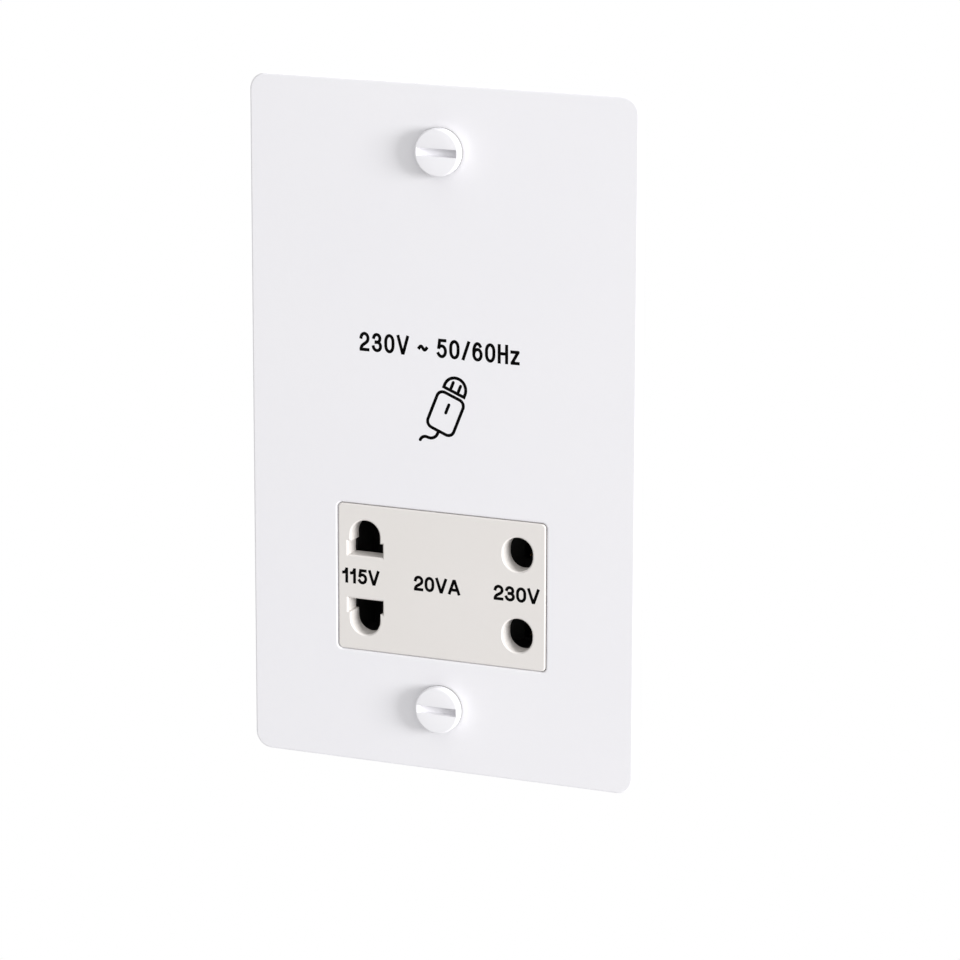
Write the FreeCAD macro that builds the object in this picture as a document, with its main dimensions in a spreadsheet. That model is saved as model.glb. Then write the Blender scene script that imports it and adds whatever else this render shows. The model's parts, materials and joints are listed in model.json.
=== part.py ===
"""Dual-voltage shaver socket for a two-gang wall box, in millimetres.

The origin is the centre of the faceplate's back face, which is the wall plane.
+Z is up, the plate faces -Y and everything at positive Y sits inside the wall box.
"""
import FreeCAD
import Part
import math
import os
import Sketcher
from FreeCAD import Placement, Rotation, Vector

# Driving dimensions: alias, value in millimetres, meaning
SIZES = (
    ("plate_width", 88.5, "faceplate, overall width"),
    ("plate_height", 148.5, "faceplate, overall height"),
    ("plate_thick", 3.0, "faceplate, sheet thickness"),
    ("plate_corner", 3.6, "faceplate, corner radius"),
    ("plate_edge", 0.4, "faceplate, rounding of the front rim"),
    ("window_edge", 0.5, "faceplate, rounding of the window's front rim"),
    ("fixing_spacing", 120.6, "centres of the two fixing screws, a two-gang box"),
    ("fixing_clearance", 0.35, "fixing screw to its hole, radially"),
    ("head_diameter", 10.15, "fixing screw, head"),
    ("head_height", 2.5, "fixing screw, head above the plate"),
    ("head_chamfer", 0.5, "fixing screw, chamfer of the head"),
    ("shank_diameter", 3.5, "fixing screw, M3.5 shank"),
    ("shank_length", 30.0, "fixing screw, under the head"),
    ("shank_point", 0.6, "fixing screw, chamfer of the tip"),
    ("neck_diameter", 3.0, "fixing screw, plain neck under the head"),
    ("neck_length", 3.4, "fixing screw, plain neck under the head"),
    ("slot_width", 1.7, "fixing screw, coin slot"),
    ("slot_depth", 1.6, "fixing screw, coin slot at its middle"),
    ("slot_margin", 0.1, "fixing screw, coin slot's end to the head's chamfer"),
    ("slot_ramp", 2.2, "fixing screw, length of the ramp at each end of the coin slot"),
    ("insert_drop", 33.4, "insert centre below the plate centre"),
    ("insert_rim", 2.3, "insert, beside the blade slots"),
    ("insert_margin", 3.45, "insert, above and below the round apertures"),
    ("insert_corner", 1.0, "insert, corner radius"),
    ("insert_gap", 0.12, "insert to the plate window, all round"),
    ("insert_proud", 0.05, "insert in front of the plate"),
    ("insert_edge", 0.35, "insert, rounding of the front rim"),
    ("mouth_edge", 0.3, "apertures, break of the front edge"),
    ("outlet_offset", 17.75, "each outlet from the middle"),
    ("pin_width", 6.8, "round apertures, width"),
    ("pin_height", 7.4, "230 V apertures, height"),
    ("pin_spacing", 17.7, "230 V apertures, centres"),
    ("round_spacing", 18.5, "115 V apertures, centres of the arches"),
    ("blade_spacing", 12.6, "115 V apertures, centres of the blade slots"),
    ("blade_width", 8.2, "115 V apertures, blade slot width"),
    ("blade_height", 3.0, "115 V apertures, blade slot height"),
    ("flange_thick", 2.5, "front moulding, flange behind the plate"),
    ("face_thick", 2.6, "front moulding, face over the coring"),
    ("coring_width", 17.0, "front moulding, cored middle"),
    ("outlet_face", 4.1, "front moulding, face round the apertures"),
    ("outlet_coring", 1.0, "front moulding, coring past the apertures"),
    ("module_corner", 4.0, "mouldings, corner radius"),
    ("stud_diameter", 3.0, "weld studs, M3"),
    ("stud_length", 7.0, "weld studs, behind the plate"),
    ("stud_offset", 20.0, "weld studs, from the middle"),
    ("stud_top_inset", 5.6, "upper weld studs below the module's top"),
    ("stud_rise", 4.9, "lower weld studs above the contact carrier"),
    ("stud_clearance", 0.2, "weld stud to its hole, radially"),
    ("nut_width", 5.5, "stud nuts, across flats"),
    ("nut_height", 2.4, "stud nuts, thickness"),
    ("thread_gap", 0.05, "screw thread to its tapped hole, radially"),
    ("slide_gap", 0.3, "interlock shutter to its bay"),
    ("shutter_thick", 8.0, "interlock shutter, depth"),
    ("shutter_lap", 0.8, "interlock shutter past the apertures, up and down"),
    ("shutter_cover", 0.15, "interlock shutter past the blade slots, sideways"),
    ("shutter_wall", 2.2, "interlock shutter, front wall and rims"),
    ("stop_gap", 0.15, "interlock shutter to its end stop"),
    ("end_wall", 2.5, "contact carrier, end stops"),
    ("guide_wall", 3.8, "contact carrier, guides over and under the shutter"),
    ("carrier_back", 1.5, "contact carrier, back wall"),
    ("carrier_gap", 0.3, "contact carrier to the housing bosses"),
    ("chamber_room", 0.2, "contact chamber past the blade slot, each side"),
    ("chamber_height", 8.8, "contact chambers, height"),
    ("chamber_depth", 11.5, "contact chambers, depth"),
    ("peg_diameter", 3.0, "locating pegs of the contact carrier"),
    ("peg_length", 3.0, "locating pegs, length"),
    ("peg_gap", 0.1, "locating peg to its hole, radially"),
    ("peg_room", 0.3, "locating peg's tip to the end of its hole"),
    ("strip_thick", 0.6, "contact strip, thickness"),
    ("contact_width", 6.4, "contacts, strip width"),
    ("contact_mouth", 7.8, "contacts, across the flared mouth"),
    ("contact_grip", 3.4, "contacts, gap at the waist"),
    ("contact_root", 6.8, "contacts, across the fold"),
    ("contact_lead_in", 3.5, "contacts, mouth to waist"),
    ("contact_seat", 0.2, "contacts, fold to the chamber's end and mouth to its rim"),
    ("tail_width", 4.0, "contacts, solder tail"),
    ("tail_reach", 2.1, "contacts, tail behind the carrier"),
    ("slit_gap", 0.3, "tails to their slits"),
    ("link_height", 3.6, "common link, strip height"),
    ("link_end", 2.0, "common link, past the contact tails"),
    ("solder_gap", 0.05, "soldered pieces, gap that the solder fills"),
    ("wiring_gap", 2.9, "wire way behind the contact carrier"),
    ("housing_wall", 2.0, "rear housing, walls"),
    ("floor_gap", 0.6, "contact carrier to the housing floor"),
    ("step_rise", 2.9, "housing step above the contact carrier"),
    ("rim_edge", 2.0, "rear housing, rounding of the back rims"),
    ("pad_diameter", 4.0, "rear housing, pads on the contact carrier"),
    ("pad_inset", 2.5, "rear housing, pads inside the carrier's edges"),
    ("boss_diameter", 7.2, "rear housing, screw bosses"),
    ("boss_edge", 4.3, "screw bosses, centre from the module's side"),
    ("boss_inset_top", 4.8, "upper screw bosses below the module's top"),
    ("boss_inset_low", 5.0, "lower screw bosses above the module's bottom"),
    ("pillar_diameter", 4.4, "front moulding, screw pillars"),
    ("pillar_height", 6.0, "front moulding, screw pillars"),
    ("seat_depth", 5.5, "screw bosses, thickness under the screw head"),
    ("pilot_floor", 1.5, "screw pillars, material left in front of the pilot hole"),
    ("tapper_diameter", 2.6, "housing screws, shank"),
    ("tapper_head", 4.8, "housing screws, head diameter"),
    ("tapper_rise", 1.9, "housing screws, head height"),
    ("tapper_chamfer", 0.5, "housing screws, chamfer of the head"),
    ("tapper_room", 0.3, "housing screws, tip to the pilot hole's end"),
    ("tapper_clearance", 0.2, "housing screws to the bosses, radially"),
    ("tapper_recess", 1.1, "housing screws, depth of the cross recess"),
    ("recess_width", 0.8, "housing screws, arms of the cross recess"),
    ("recess_length", 3.0, "housing screws, length of the cross recess"),
    ("core_leg", 16.0, "transformer core, centre leg of a scrapless lamination"),
    ("core_stack", 18.0, "transformer core, stack depth"),
    ("core_rise", 5.5, "transformer core above the housing step's floor"),
    ("core_side", 0.6, "core to the deep part's side walls"),
    ("core_over", 3.0, "core to the deep part's top wall, a wire way"),
    ("core_headroom", 14.5, "core to the housing's top wall"),
    ("front_post", 10.5, "posts of the front moulding under the core"),
    ("rear_post", 9.0, "posts of the rear housing behind the core"),
    ("post_diameter", 5.0, "core posts"),
    ("post_rise", 24.0, "upper core posts above the lower ones"),
    ("former_gap", 0.2, "coil former to the core"),
    ("former_wall", 1.0, "coil former, tube wall"),
    ("former_flange", 1.2, "coil former, flanges and middle partition"),
    ("former_reach", 8.5, "coil former, flanges past the core stack"),
    ("winding_gap", 0.1, "windings to the former"),
    ("winding_inset", 1.6, "windings inside the former's flanges"),
    ("winding_corner", 5.0, "windings, corner radius"),
    ("wrap_thick", 0.4, "tape round the windings"),
    ("pin_side", 1.0, "former pins, square side"),
    ("pin_reach", 6.0, "former pins, length"),
    ("pin_inset", 2.5, "former pins inside the flange's back edge"),
    ("pin_pitch", 12.0, "former pins, pitch"),
    ("primary_shift", 2.0, "former pins over the primary, first one from the middle"),
    ("cutout_width", 12.0, "thermal cut-out, width"),
    ("cutout_height", 6.0, "thermal cut-out, height"),
    ("cutout_thick", 4.5, "thermal cut-out, depth"),
    ("cutout_offset", 13.0, "thermal cut-out, centre left of the middle"),
    ("cutout_tag", 2.5, "thermal cut-out, length of its tags"),
    ("cutout_tag_width", 2.0, "thermal cut-out, width of its tags"),
    ("terminal_pitch", 12.0, "supply terminals, pitch"),
    ("terminal_width", 7.6, "supply terminals, width"),
    ("terminal_height", 9.6, "supply terminals, height"),
    ("terminal_depth", 8.0, "supply terminals, depth"),
    ("terminal_bore", 3.6, "supply terminals, wire bore"),
    ("terminal_gap", 0.2, "supply terminal to its chamber"),
    ("terminal_pin", 1.2, "supply terminals, square pin through the housing"),
    ("clamp_diameter", 3.5, "terminal screws, thread"),
    ("clamp_head", 5.6, "terminal screws, head"),
    ("clamp_rise", 1.8, "terminal screws, head height"),
    ("clamp_slot", 0.9, "terminal screws, slot width"),
    ("clamp_open", 0.2, "terminal screw tip above the wire bore"),
    ("block_floor", 2.0, "terminal block, floor under the terminals"),
    ("block_wall", 3.0, "terminal block, side walls"),
    ("block_depth", 12.0, "terminal block, depth"),
    ("block_margin", 4.0, "terminal block, above and below the terminals"),
    ("entry_width", 5.0, "terminal block, wire entry slots"),
    ("block_peg_inset", 3.0, "terminal block, pegs inside its edges"),
    ("vent_width", 1.8, "vents, slot width"),
    ("vent_height", 24.0, "vents, slot height"),
    ("vent_pitch", 4.5, "vents, pitch"),
    ("lead_diameter", 1.7, "insulated wires"),
    ("lead_bend", 3.0, "insulated wires, bend radius"),
    ("lead_way", 2.55, "insulated wires, centre beside the contact carrier"),
    ("tag_thick", 0.6, "earth tag, thickness"),
    ("tag_diameter", 6.6, "earth tag, ring"),
    ("barrel_diameter", 2.6, "earth tag, crimp barrel"),
    ("barrel_length", 4.0, "earth tag, crimp barrel"),
    ("tag_neck", 1.0, "earth tag, ring to crimp barrel"),
)
VENT_COUNT = 7

# A scrapless lamination, counted in half widths of its centre leg
CORE_HALVES_WIDE = 6
CORE_HALVES_HIGH = 5

# Share of a wire's shorter run that a bend may use up
BEND_SHARE = 0.45


class Size:
    """A length in millimetres together with the sheet expression that gives it."""

    def __init__(self, value, text):
        self.value = value
        self.text = text

    def __add__(self, other):
        other = as_size(other)
        return Size(self.value + other.value, f"({self.text} + {other.text})")

    def __sub__(self, other):
        other = as_size(other)
        return Size(self.value - other.value, f"({self.text} - {other.text})")

    def __mul__(self, factor):
        return Size(self.value * factor, f"({self.text} * {factor})")

    def __truediv__(self, other):
        other = as_size(other)
        return Size(self.value / other.value, f"({self.text} / {other.text})")

    def __neg__(self):
        return self * -1


def as_size(number):
    """Returns a Size for a Size or a bare number."""
    return number if isinstance(number, Size) else Size(float(number), str(number))


def larger(first, second):
    """The larger of two sizes."""
    return Size(max(first.value, second.value), f"max({first.text}; {second.text})")


doc = FreeCAD.newDocument("shaver_socket")
sheet = doc.addObject("Spreadsheet::Sheet", "Sizes")
for row, (alias, number, meaning) in enumerate(SIZES, start=1):
    sheet.set(f"A{row}", meaning)
    sheet.set(f"B{row}", str(number))
    sheet.setAlias(f"B{row}", alias)
doc.recompute()


def given(alias):
    """The size that a cell of the sheet holds."""
    return Size(float(getattr(sheet, alias)), f"Sizes.{alias}")


ZERO = as_size(0)
d = {alias: given(alias) for alias, _, _ in SIZES}

# Heights, from the insert upwards and downwards
insert_z = -d["insert_drop"]
insert_half_x = d["outlet_offset"] + d["blade_width"] / 2 + d["insert_rim"]
insert_half_z = d["round_spacing"] / 2 + d["pin_width"] / 2 + d["insert_margin"]
shutter_half_z = d["round_spacing"] / 2 + d["pin_width"] / 2 + d["shutter_lap"]
bay_half_z = shutter_half_z + d["slide_gap"]
carrier_half_z = bay_half_z + d["guide_wall"]
carrier_top = insert_z + carrier_half_z
module_low = insert_z - carrier_half_z - d["floor_gap"] - d["housing_wall"]
step_z = carrier_top + d["step_rise"]
core_low = step_z + d["housing_wall"] + d["core_rise"]
yoke = d["core_leg"] / 2
core_half_x = yoke * CORE_HALVES_WIDE / 2
core_high = core_low + yoke * CORE_HALVES_HIGH
deep_top = core_high + d["core_over"] + d["housing_wall"]
module_high = core_high + d["core_headroom"] + d["housing_wall"]

# Widths, from the outlets outwards
shutter_travel = d["blade_width"] + d["shutter_cover"] * 2
bay_half_x = d["outlet_offset"] + shutter_travel / 2 + d["stop_gap"]
carrier_half_x = bay_half_x + d["end_wall"]
boss_x = carrier_half_x + d["carrier_gap"] + d["boss_diameter"] / 2
deep_half_x = core_half_x + d["core_side"] + d["housing_wall"]
module_half_x = larger(boss_x + d["boss_edge"], deep_half_x)
post_x = core_half_x - yoke / 2
post_low_z = core_low + yoke / 2

# Depths, from the plate's front to the housing's back
plate_front = -d["plate_thick"]
insert_front = plate_front - d["insert_proud"]
shutter_y = d["flange_thick"] + d["slide_gap"]
bay_y = shutter_y + d["shutter_thick"] + d["slide_gap"]
chamber_y = bay_y + d["chamber_depth"]
carrier_y = chamber_y + d["carrier_back"]
wiring_y = carrier_y + d["wiring_gap"]
step_y = wiring_y + d["housing_wall"]
lead_y = carrier_y + d["strip_thick"] + d["solder_gap"] + d["lead_diameter"] / 2
pillar_y = d["flange_thick"] + d["pillar_height"]
seat_y = pillar_y + d["seat_depth"]
core_y = d["flange_thick"] + d["front_post"]
core_back_y = core_y + d["core_stack"]
core_middle_y = core_y + d["core_stack"] / 2
deep_y = core_back_y + d["rear_post"]
back_y = deep_y + d["housing_wall"]
terminal_y = step_y + d["block_floor"]
terminal_back_y = terminal_y + d["terminal_depth"]
bore_y = terminal_y + d["terminal_depth"] / 2

# Places that several pieces share
stud_places = [
    (d["stud_offset"] * side, z)
    for side in (-1, 1)
    for z in (module_high - d["stud_top_inset"], carrier_top + d["stud_rise"])
]
boss_high_z = module_high - d["boss_inset_top"]
boss_low_z = module_low + d["boss_inset_low"]
boss_places = [(boss_x * side, z) for side in (-1, 1) for z in (boss_high_z, boss_low_z)]
post_places = [
    (post_x * side, z) for side in (-1, 1) for z in (post_low_z, post_low_z + d["post_rise"])
]
peg_places = [(ZERO, insert_z + (carrier_half_z + bay_half_z) / 2 * side) for side in (-1, 1)]
outlet_places = {
    "contact_115_upper": (-d["outlet_offset"], insert_z + d["pin_spacing"] / 2),
    "contact_115_lower": (-d["outlet_offset"], insert_z - d["pin_spacing"] / 2),
    "contact_230_upper": (d["outlet_offset"], insert_z + d["pin_spacing"] / 2),
    "contact_230_lower": (d["outlet_offset"], insert_z - d["pin_spacing"] / 2),
}
terminal_places = {
    "live_terminal": -d["terminal_pitch"],
    "earth_terminal": ZERO,
    "neutral_terminal": d["terminal_pitch"],
}

# Sketch planes: the axis they are square to, their role and which way their normal points
PLANES = {"X": ("YZ_Plane", 1), "Y": ("XZ_Plane", -1), "Z": ("XY_Plane", 1)}


def bind(thing, name, size):
    """Ties a property to the sheet."""
    thing.setExpression(name, size.text)


def new_body(label):
    """An empty body with its own label."""
    body = doc.addObject("PartDesign::Body", label)
    body.Label = label
    return body


def new_sketch(body, axis, start):
    """A sketch square to an axis, at one place along it."""
    role, normal = PLANES[axis]
    plane = next(item for item in body.Origin.OriginFeatures if item.Role == role)
    sketch = body.newObject("Sketcher::SketchObject", "Sketch")
    sketch.AttachmentSupport = [(plane, "")]
    sketch.MapMode = "FlatFace"
    bind(sketch, "AttachmentOffset.Base.z", start * normal)
    return sketch


def set_point(sketch, curve, end, x, y):
    """Places one point of a sketch by its two distances from the sketch's origin."""
    for kind, axis, size in (("DistanceX", -2, x), ("DistanceY", -1, y)):
        if size is ZERO:
            sketch.addConstraint(Sketcher.Constraint("PointOnObject", curve, end, axis))
            continue
        index = sketch.addConstraint(Sketcher.Constraint(kind, -1, 1, curve, end, size.value))
        bind(sketch, f"Constraints[{index}]", size)


def flat(x, y):
    """A sketch point."""
    return Vector(x.value, y.value, 0)


def add_polygon(sketch, corners):
    """A closed outline of straight lines."""
    first = sketch.GeometryCount
    count = len(corners)
    for start, end in zip(corners, corners[1:] + corners[:1]):
        sketch.addGeometry(Part.LineSegment(flat(*start), flat(*end)), False)
    for index in range(count):
        following = first + (index + 1) % count
        sketch.addConstraint(Sketcher.Constraint("Coincident", first + index, 2, following, 1))
    for index, (x, y) in enumerate(corners):
        set_point(sketch, first + index, 1, x, y)


def add_box(sketch, low_x, high_x, low_y, high_y):
    """A rectangle from its four sides."""
    add_polygon(sketch, [(low_x, low_y), (high_x, low_y), (high_x, high_y), (low_x, high_y)])


def add_centred_box(sketch, x, y, half_x, half_y):
    """A rectangle about a centre."""
    add_box(sketch, x - half_x, x + half_x, y - half_y, y + half_y)


def add_circle(sketch, x, y, diameter):
    """A circle about a centre."""
    circle = Part.Circle(flat(x, y), Vector(0, 0, 1), diameter.value / 2)
    curve = sketch.addGeometry(circle, False)
    set_point(sketch, curve, 3, x, y)
    index = sketch.addConstraint(Sketcher.Constraint("Diameter", curve, diameter.value))
    bind(sketch, f"Constraints[{index}]", diameter)


def add_round_end(sketch, right, left, x, y, radius, upwards):
    """A half circle that joins the ends of two upright lines, over or under them."""
    start = 0.0 if upwards else math.pi
    circle = Part.Circle(flat(x, y), Vector(0, 0, 1), radius.value)
    arc = sketch.addGeometry(Part.ArcOfCircle(circle, start, start + math.pi), False)
    for end, (line, point) in ((1, right if upwards else left), (2, left if upwards else right)):
        sketch.addConstraint(Sketcher.Constraint("Coincident", arc, end, line, point))
    index = sketch.addConstraint(Sketcher.Constraint("DistanceY", -1, 1, arc, 3, y.value))
    bind(sketch, f"Constraints[{index}]", y)


def add_obround(sketch, x, y, width, height):
    """An upright slot with two round ends."""
    radius = width / 2
    straight = (height - width) / 2
    sides = []
    for side in (-1, 1):
        edge = x + radius * side
        line = Part.LineSegment(flat(edge, y - straight), flat(edge, y + straight))
        curve = sketch.addGeometry(line, False)
        set_point(sketch, curve, 1, edge, y - straight)
        set_point(sketch, curve, 2, edge, y + straight)
        sides.append(curve)
    left, right = sides
    add_round_end(sketch, (right, 2), (left, 2), x, y + straight, radius, True)
    add_round_end(sketch, (right, 1), (left, 1), x, y - straight, radius, False)


def add_rounded_box(sketch, x, y, half_x, half_y, radius):
    """A rectangle about a centre, with round corners."""
    inner_x, inner_y = half_x - radius, half_y - radius
    sides = [
        ((x + half_x, y - inner_y), (x + half_x, y + inner_y)),
        ((x + inner_x, y + half_y), (x - inner_x, y + half_y)),
        ((x - half_x, y + inner_y), (x - half_x, y - inner_y)),
        ((x - inner_x, y - half_y), (x + inner_x, y - half_y)),
    ]
    lines = []
    for start, end in sides:
        line = sketch.addGeometry(Part.LineSegment(flat(*start), flat(*end)), False)
        set_point(sketch, line, 1, *start)
        set_point(sketch, line, 2, *end)
        lines.append(line)
    quarter = math.pi / 2
    for index, (side, way) in enumerate(((1, 1), (-1, 1), (-1, -1), (1, -1))):
        centre_x, centre_y = x + inner_x * side, y + inner_y * way
        circle = Part.Circle(flat(centre_x, centre_y), Vector(0, 0, 1), radius.value)
        bend = Part.ArcOfCircle(circle, index * quarter, (index + 1) * quarter)
        arc = sketch.addGeometry(bend, False)
        sketch.addConstraint(Sketcher.Constraint("Coincident", arc, 1, lines[index], 2))
        sketch.addConstraint(Sketcher.Constraint("Coincident", arc, 2, lines[(index + 1) % 4], 1))
        height = sketch.addConstraint(
            Sketcher.Constraint("DistanceY", -1, 1, arc, 3, centre_y.value)
        )
        bind(sketch, f"Constraints[{height}]", centre_y)


def add_keyhole(sketch, x, direction):
    """A 115 V aperture: an arch for a round pin that opens into a wider slot for a flat blade."""
    radius = d["pin_width"] / 2
    half = d["blade_width"] / 2
    arch_y = insert_z + d["round_spacing"] / 2 * direction
    slot_y = insert_z + d["blade_spacing"] / 2 * direction
    inner_y = slot_y - d["blade_height"] / 2 * direction
    outer_y = slot_y + d["blade_height"] / 2 * direction
    corners = [
        (x + radius, arch_y),
        (x + radius, outer_y),
        (x + half, outer_y),
        (x + half, inner_y),
        (x - half, inner_y),
        (x - half, outer_y),
        (x - radius, outer_y),
        (x - radius, arch_y),
    ]
    first = sketch.GeometryCount
    for start, end in zip(corners, corners[1:]):
        sketch.addGeometry(Part.LineSegment(flat(*start), flat(*end)), False)
    last = first + len(corners) - 2
    for index in range(first, last):
        sketch.addConstraint(Sketcher.Constraint("Coincident", index, 2, index + 1, 1))
    for index, corner in enumerate(corners[:-1]):
        set_point(sketch, first + index, 1, *corner)
    set_point(sketch, last, 2, *corners[-1])
    add_round_end(sketch, (first, 1), (last, 2), x, arch_y, radius, direction > 0)


def slab(body, kind, axis, start, end, draw):
    """Adds (Pad) or cuts (Pocket) a prism from start to end along an axis, and returns the feature."""
    sketch = new_sketch(body, axis, start)
    draw(sketch)
    feature = body.newObject(f"PartDesign::{kind}", kind)
    feature.Profile = sketch
    bind(feature, "Length", end - start)
    normal = PLANES[axis][1]
    feature.Reversed = (normal < 0) == (kind == "Pad")
    return feature


def circles(places, diameter):
    """A drawing of equal circles."""

    def draw(sketch):
        for x, y in places:
            add_circle(sketch, x, y, diameter)

    return draw


def box(*sides):
    """A drawing of one rectangle from its four sides."""
    return lambda sketch: add_box(sketch, *sides)


def centred_box(*middle_and_halves):
    """A drawing of one rectangle about its centre."""
    return lambda sketch: add_centred_box(sketch, *middle_and_halves)


def rounded_box(*middle_halves_and_radius):
    """A drawing of one round-cornered rectangle about its centre."""
    return lambda sketch: add_rounded_box(sketch, *middle_halves_and_radius)


def turn(body, x, z, profile):
    """Revolves a half profile of (y, radius) corners about a line along Y through (x, z)."""
    sketch = new_sketch(body, "X", x)
    ends = (profile[0][0], profile[-1][0])
    axis = sketch.addGeometry(Part.LineSegment(flat(ends[0], z), flat(ends[1], z)), True)
    for point, y in enumerate(ends, start=1):
        set_point(sketch, axis, point, y, z)
    add_polygon(sketch, [(y, z + radius) for y, radius in profile])
    feature = body.newObject("PartDesign::Revolution", "Revolution")
    feature.Profile = sketch
    feature.ReferenceAxis = (sketch, ["Axis0"])
    feature.Angle = 360.0


def soften(body, kind, chosen, size):
    """Rounds (Fillet) or bevels (Chamfer) the edges that a test picks."""
    doc.recompute()
    base = body.Tip
    names = [f"Edge{i}" for i, edge in enumerate(base.Shape.Edges, start=1) if chosen(edge)]
    feature = body.newObject(f"PartDesign::{kind}", kind)
    feature.Base = (base, names)
    bind(feature, "Radius" if kind == "Fillet" else "Size", size)


def same(first, second):
    """Whether two lengths agree."""
    return abs(first - second) < 1e-4


def runs_along(edge, axis):
    """Whether an edge is a straight line along X, Y or Z."""
    if edge.Curve.TypeId != "Part::GeomLine":
        return False
    return same(abs(getattr(edge.Curve.Direction, axis.lower())), 1.0)


def lies_in(edge, axis, place):
    """Whether an edge lies in the plane square to an axis at one place."""
    bounds = edge.BoundBox
    low, high = getattr(bounds, f"{axis}Min"), getattr(bounds, f"{axis}Max")
    return same(low, place.value) and same(high, place.value)


def upright_at(*half_widths):
    """A test for edges along Y that stand at given distances from the middle plane."""

    def chosen(edge):
        x = abs(edge.CenterOfMass.x)
        return runs_along(edge, "Y") and any(same(x, half.value) for half in half_widths)

    return chosen


def outline_at(y, half_x, low_z, high_z):
    """A test for the edges in the plane y that lie on or outside a rectangle."""

    def chosen(edge):
        if not lies_in(edge, "Y", y):
            return False
        centre = edge.CenterOfMass
        inside_x = abs(centre.x) < half_x.value
        return not (inside_x and low_z.value < centre.z < high_z.value)

    return chosen


def group(label, members):
    """Equal pieces that share one node."""
    compound = doc.addObject("Part::Compound", label)
    compound.Label = label
    compound.Links = members
    return compound


def make_faceplate():
    """The coated steel plate with its window, screw holes and weld studs."""
    body = new_body("faceplate")
    half_x, half_z = d["plate_width"] / 2, d["plate_height"] / 2
    window_x, window_z = insert_half_x + d["insert_gap"], insert_half_z + d["insert_gap"]
    slab(body, "Pad", "Y", plate_front, ZERO, centred_box(ZERO, ZERO, half_x, half_z))
    soften(body, "Fillet", upright_at(half_x), d["plate_corner"])
    window = centred_box(ZERO, insert_z, window_x, window_z)
    slab(body, "Pocket", "Y", plate_front, ZERO, window)
    soften(body, "Fillet", upright_at(window_x), d["insert_corner"] + d["insert_gap"])
    rim = outline_at(
        plate_front,
        half_x - d["plate_corner"],
        -half_z + d["plate_corner"],
        half_z - d["plate_corner"],
    )

    def window_rim(edge):
        return lies_in(edge, "Y", plate_front) and not rim(edge)

    soften(body, "Fillet", rim, d["plate_edge"])
    soften(body, "Fillet", window_rim, d["window_edge"])
    hole = d["shank_diameter"] + d["fixing_clearance"] * 2
    holes = [(ZERO, d["fixing_spacing"] / 2 * side) for side in (-1, 1)]
    slab(body, "Pocket", "Y", plate_front, ZERO, circles(holes, hole))
    slab(body, "Pad", "Y", ZERO, d["stud_length"], circles(stud_places, d["stud_diameter"]))
    return body


def make_fixing_screw(side):
    """A coin-slot screw whose slot has a flat floor that ramps up to the head's face at both ends."""
    body = new_body("fixing_screw_upper" if side > 0 else "fixing_screw_lower")
    z = d["fixing_spacing"] / 2 * side
    head, neck, shank = [d[f"{part}_diameter"] / 2 for part in ("head", "neck", "shank")]
    front = plate_front - d["head_height"]
    thread_y = plate_front + d["neck_length"]
    tip = plate_front + d["shank_length"]
    profile = [
        (front, ZERO),
        (front, head - d["head_chamfer"]),
        (front + d["head_chamfer"], head),
        (plate_front, head),
        (plate_front, neck),
        (thread_y, neck),
        (thread_y, shank),
        (tip - d["shank_point"], shank),
        (tip, shank - d["shank_point"]),
        (tip, ZERO),
    ]
    turn(body, ZERO, z, profile)
    floor = head - d["head_chamfer"] - d["slot_margin"] - d["slot_ramp"]
    reach = floor + d["slot_ramp"] * 2
    floor_y, above = front + d["slot_depth"], front - d["slot_depth"]
    corners = [(-floor, floor_y), (floor, floor_y), (reach, above), (-reach, above)]

    def slot(sketch):
        add_polygon(sketch, corners)

    slab(body, "Pocket", "Z", z - d["slot_width"] / 2, z + d["slot_width"] / 2, slot)
    return body


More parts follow.
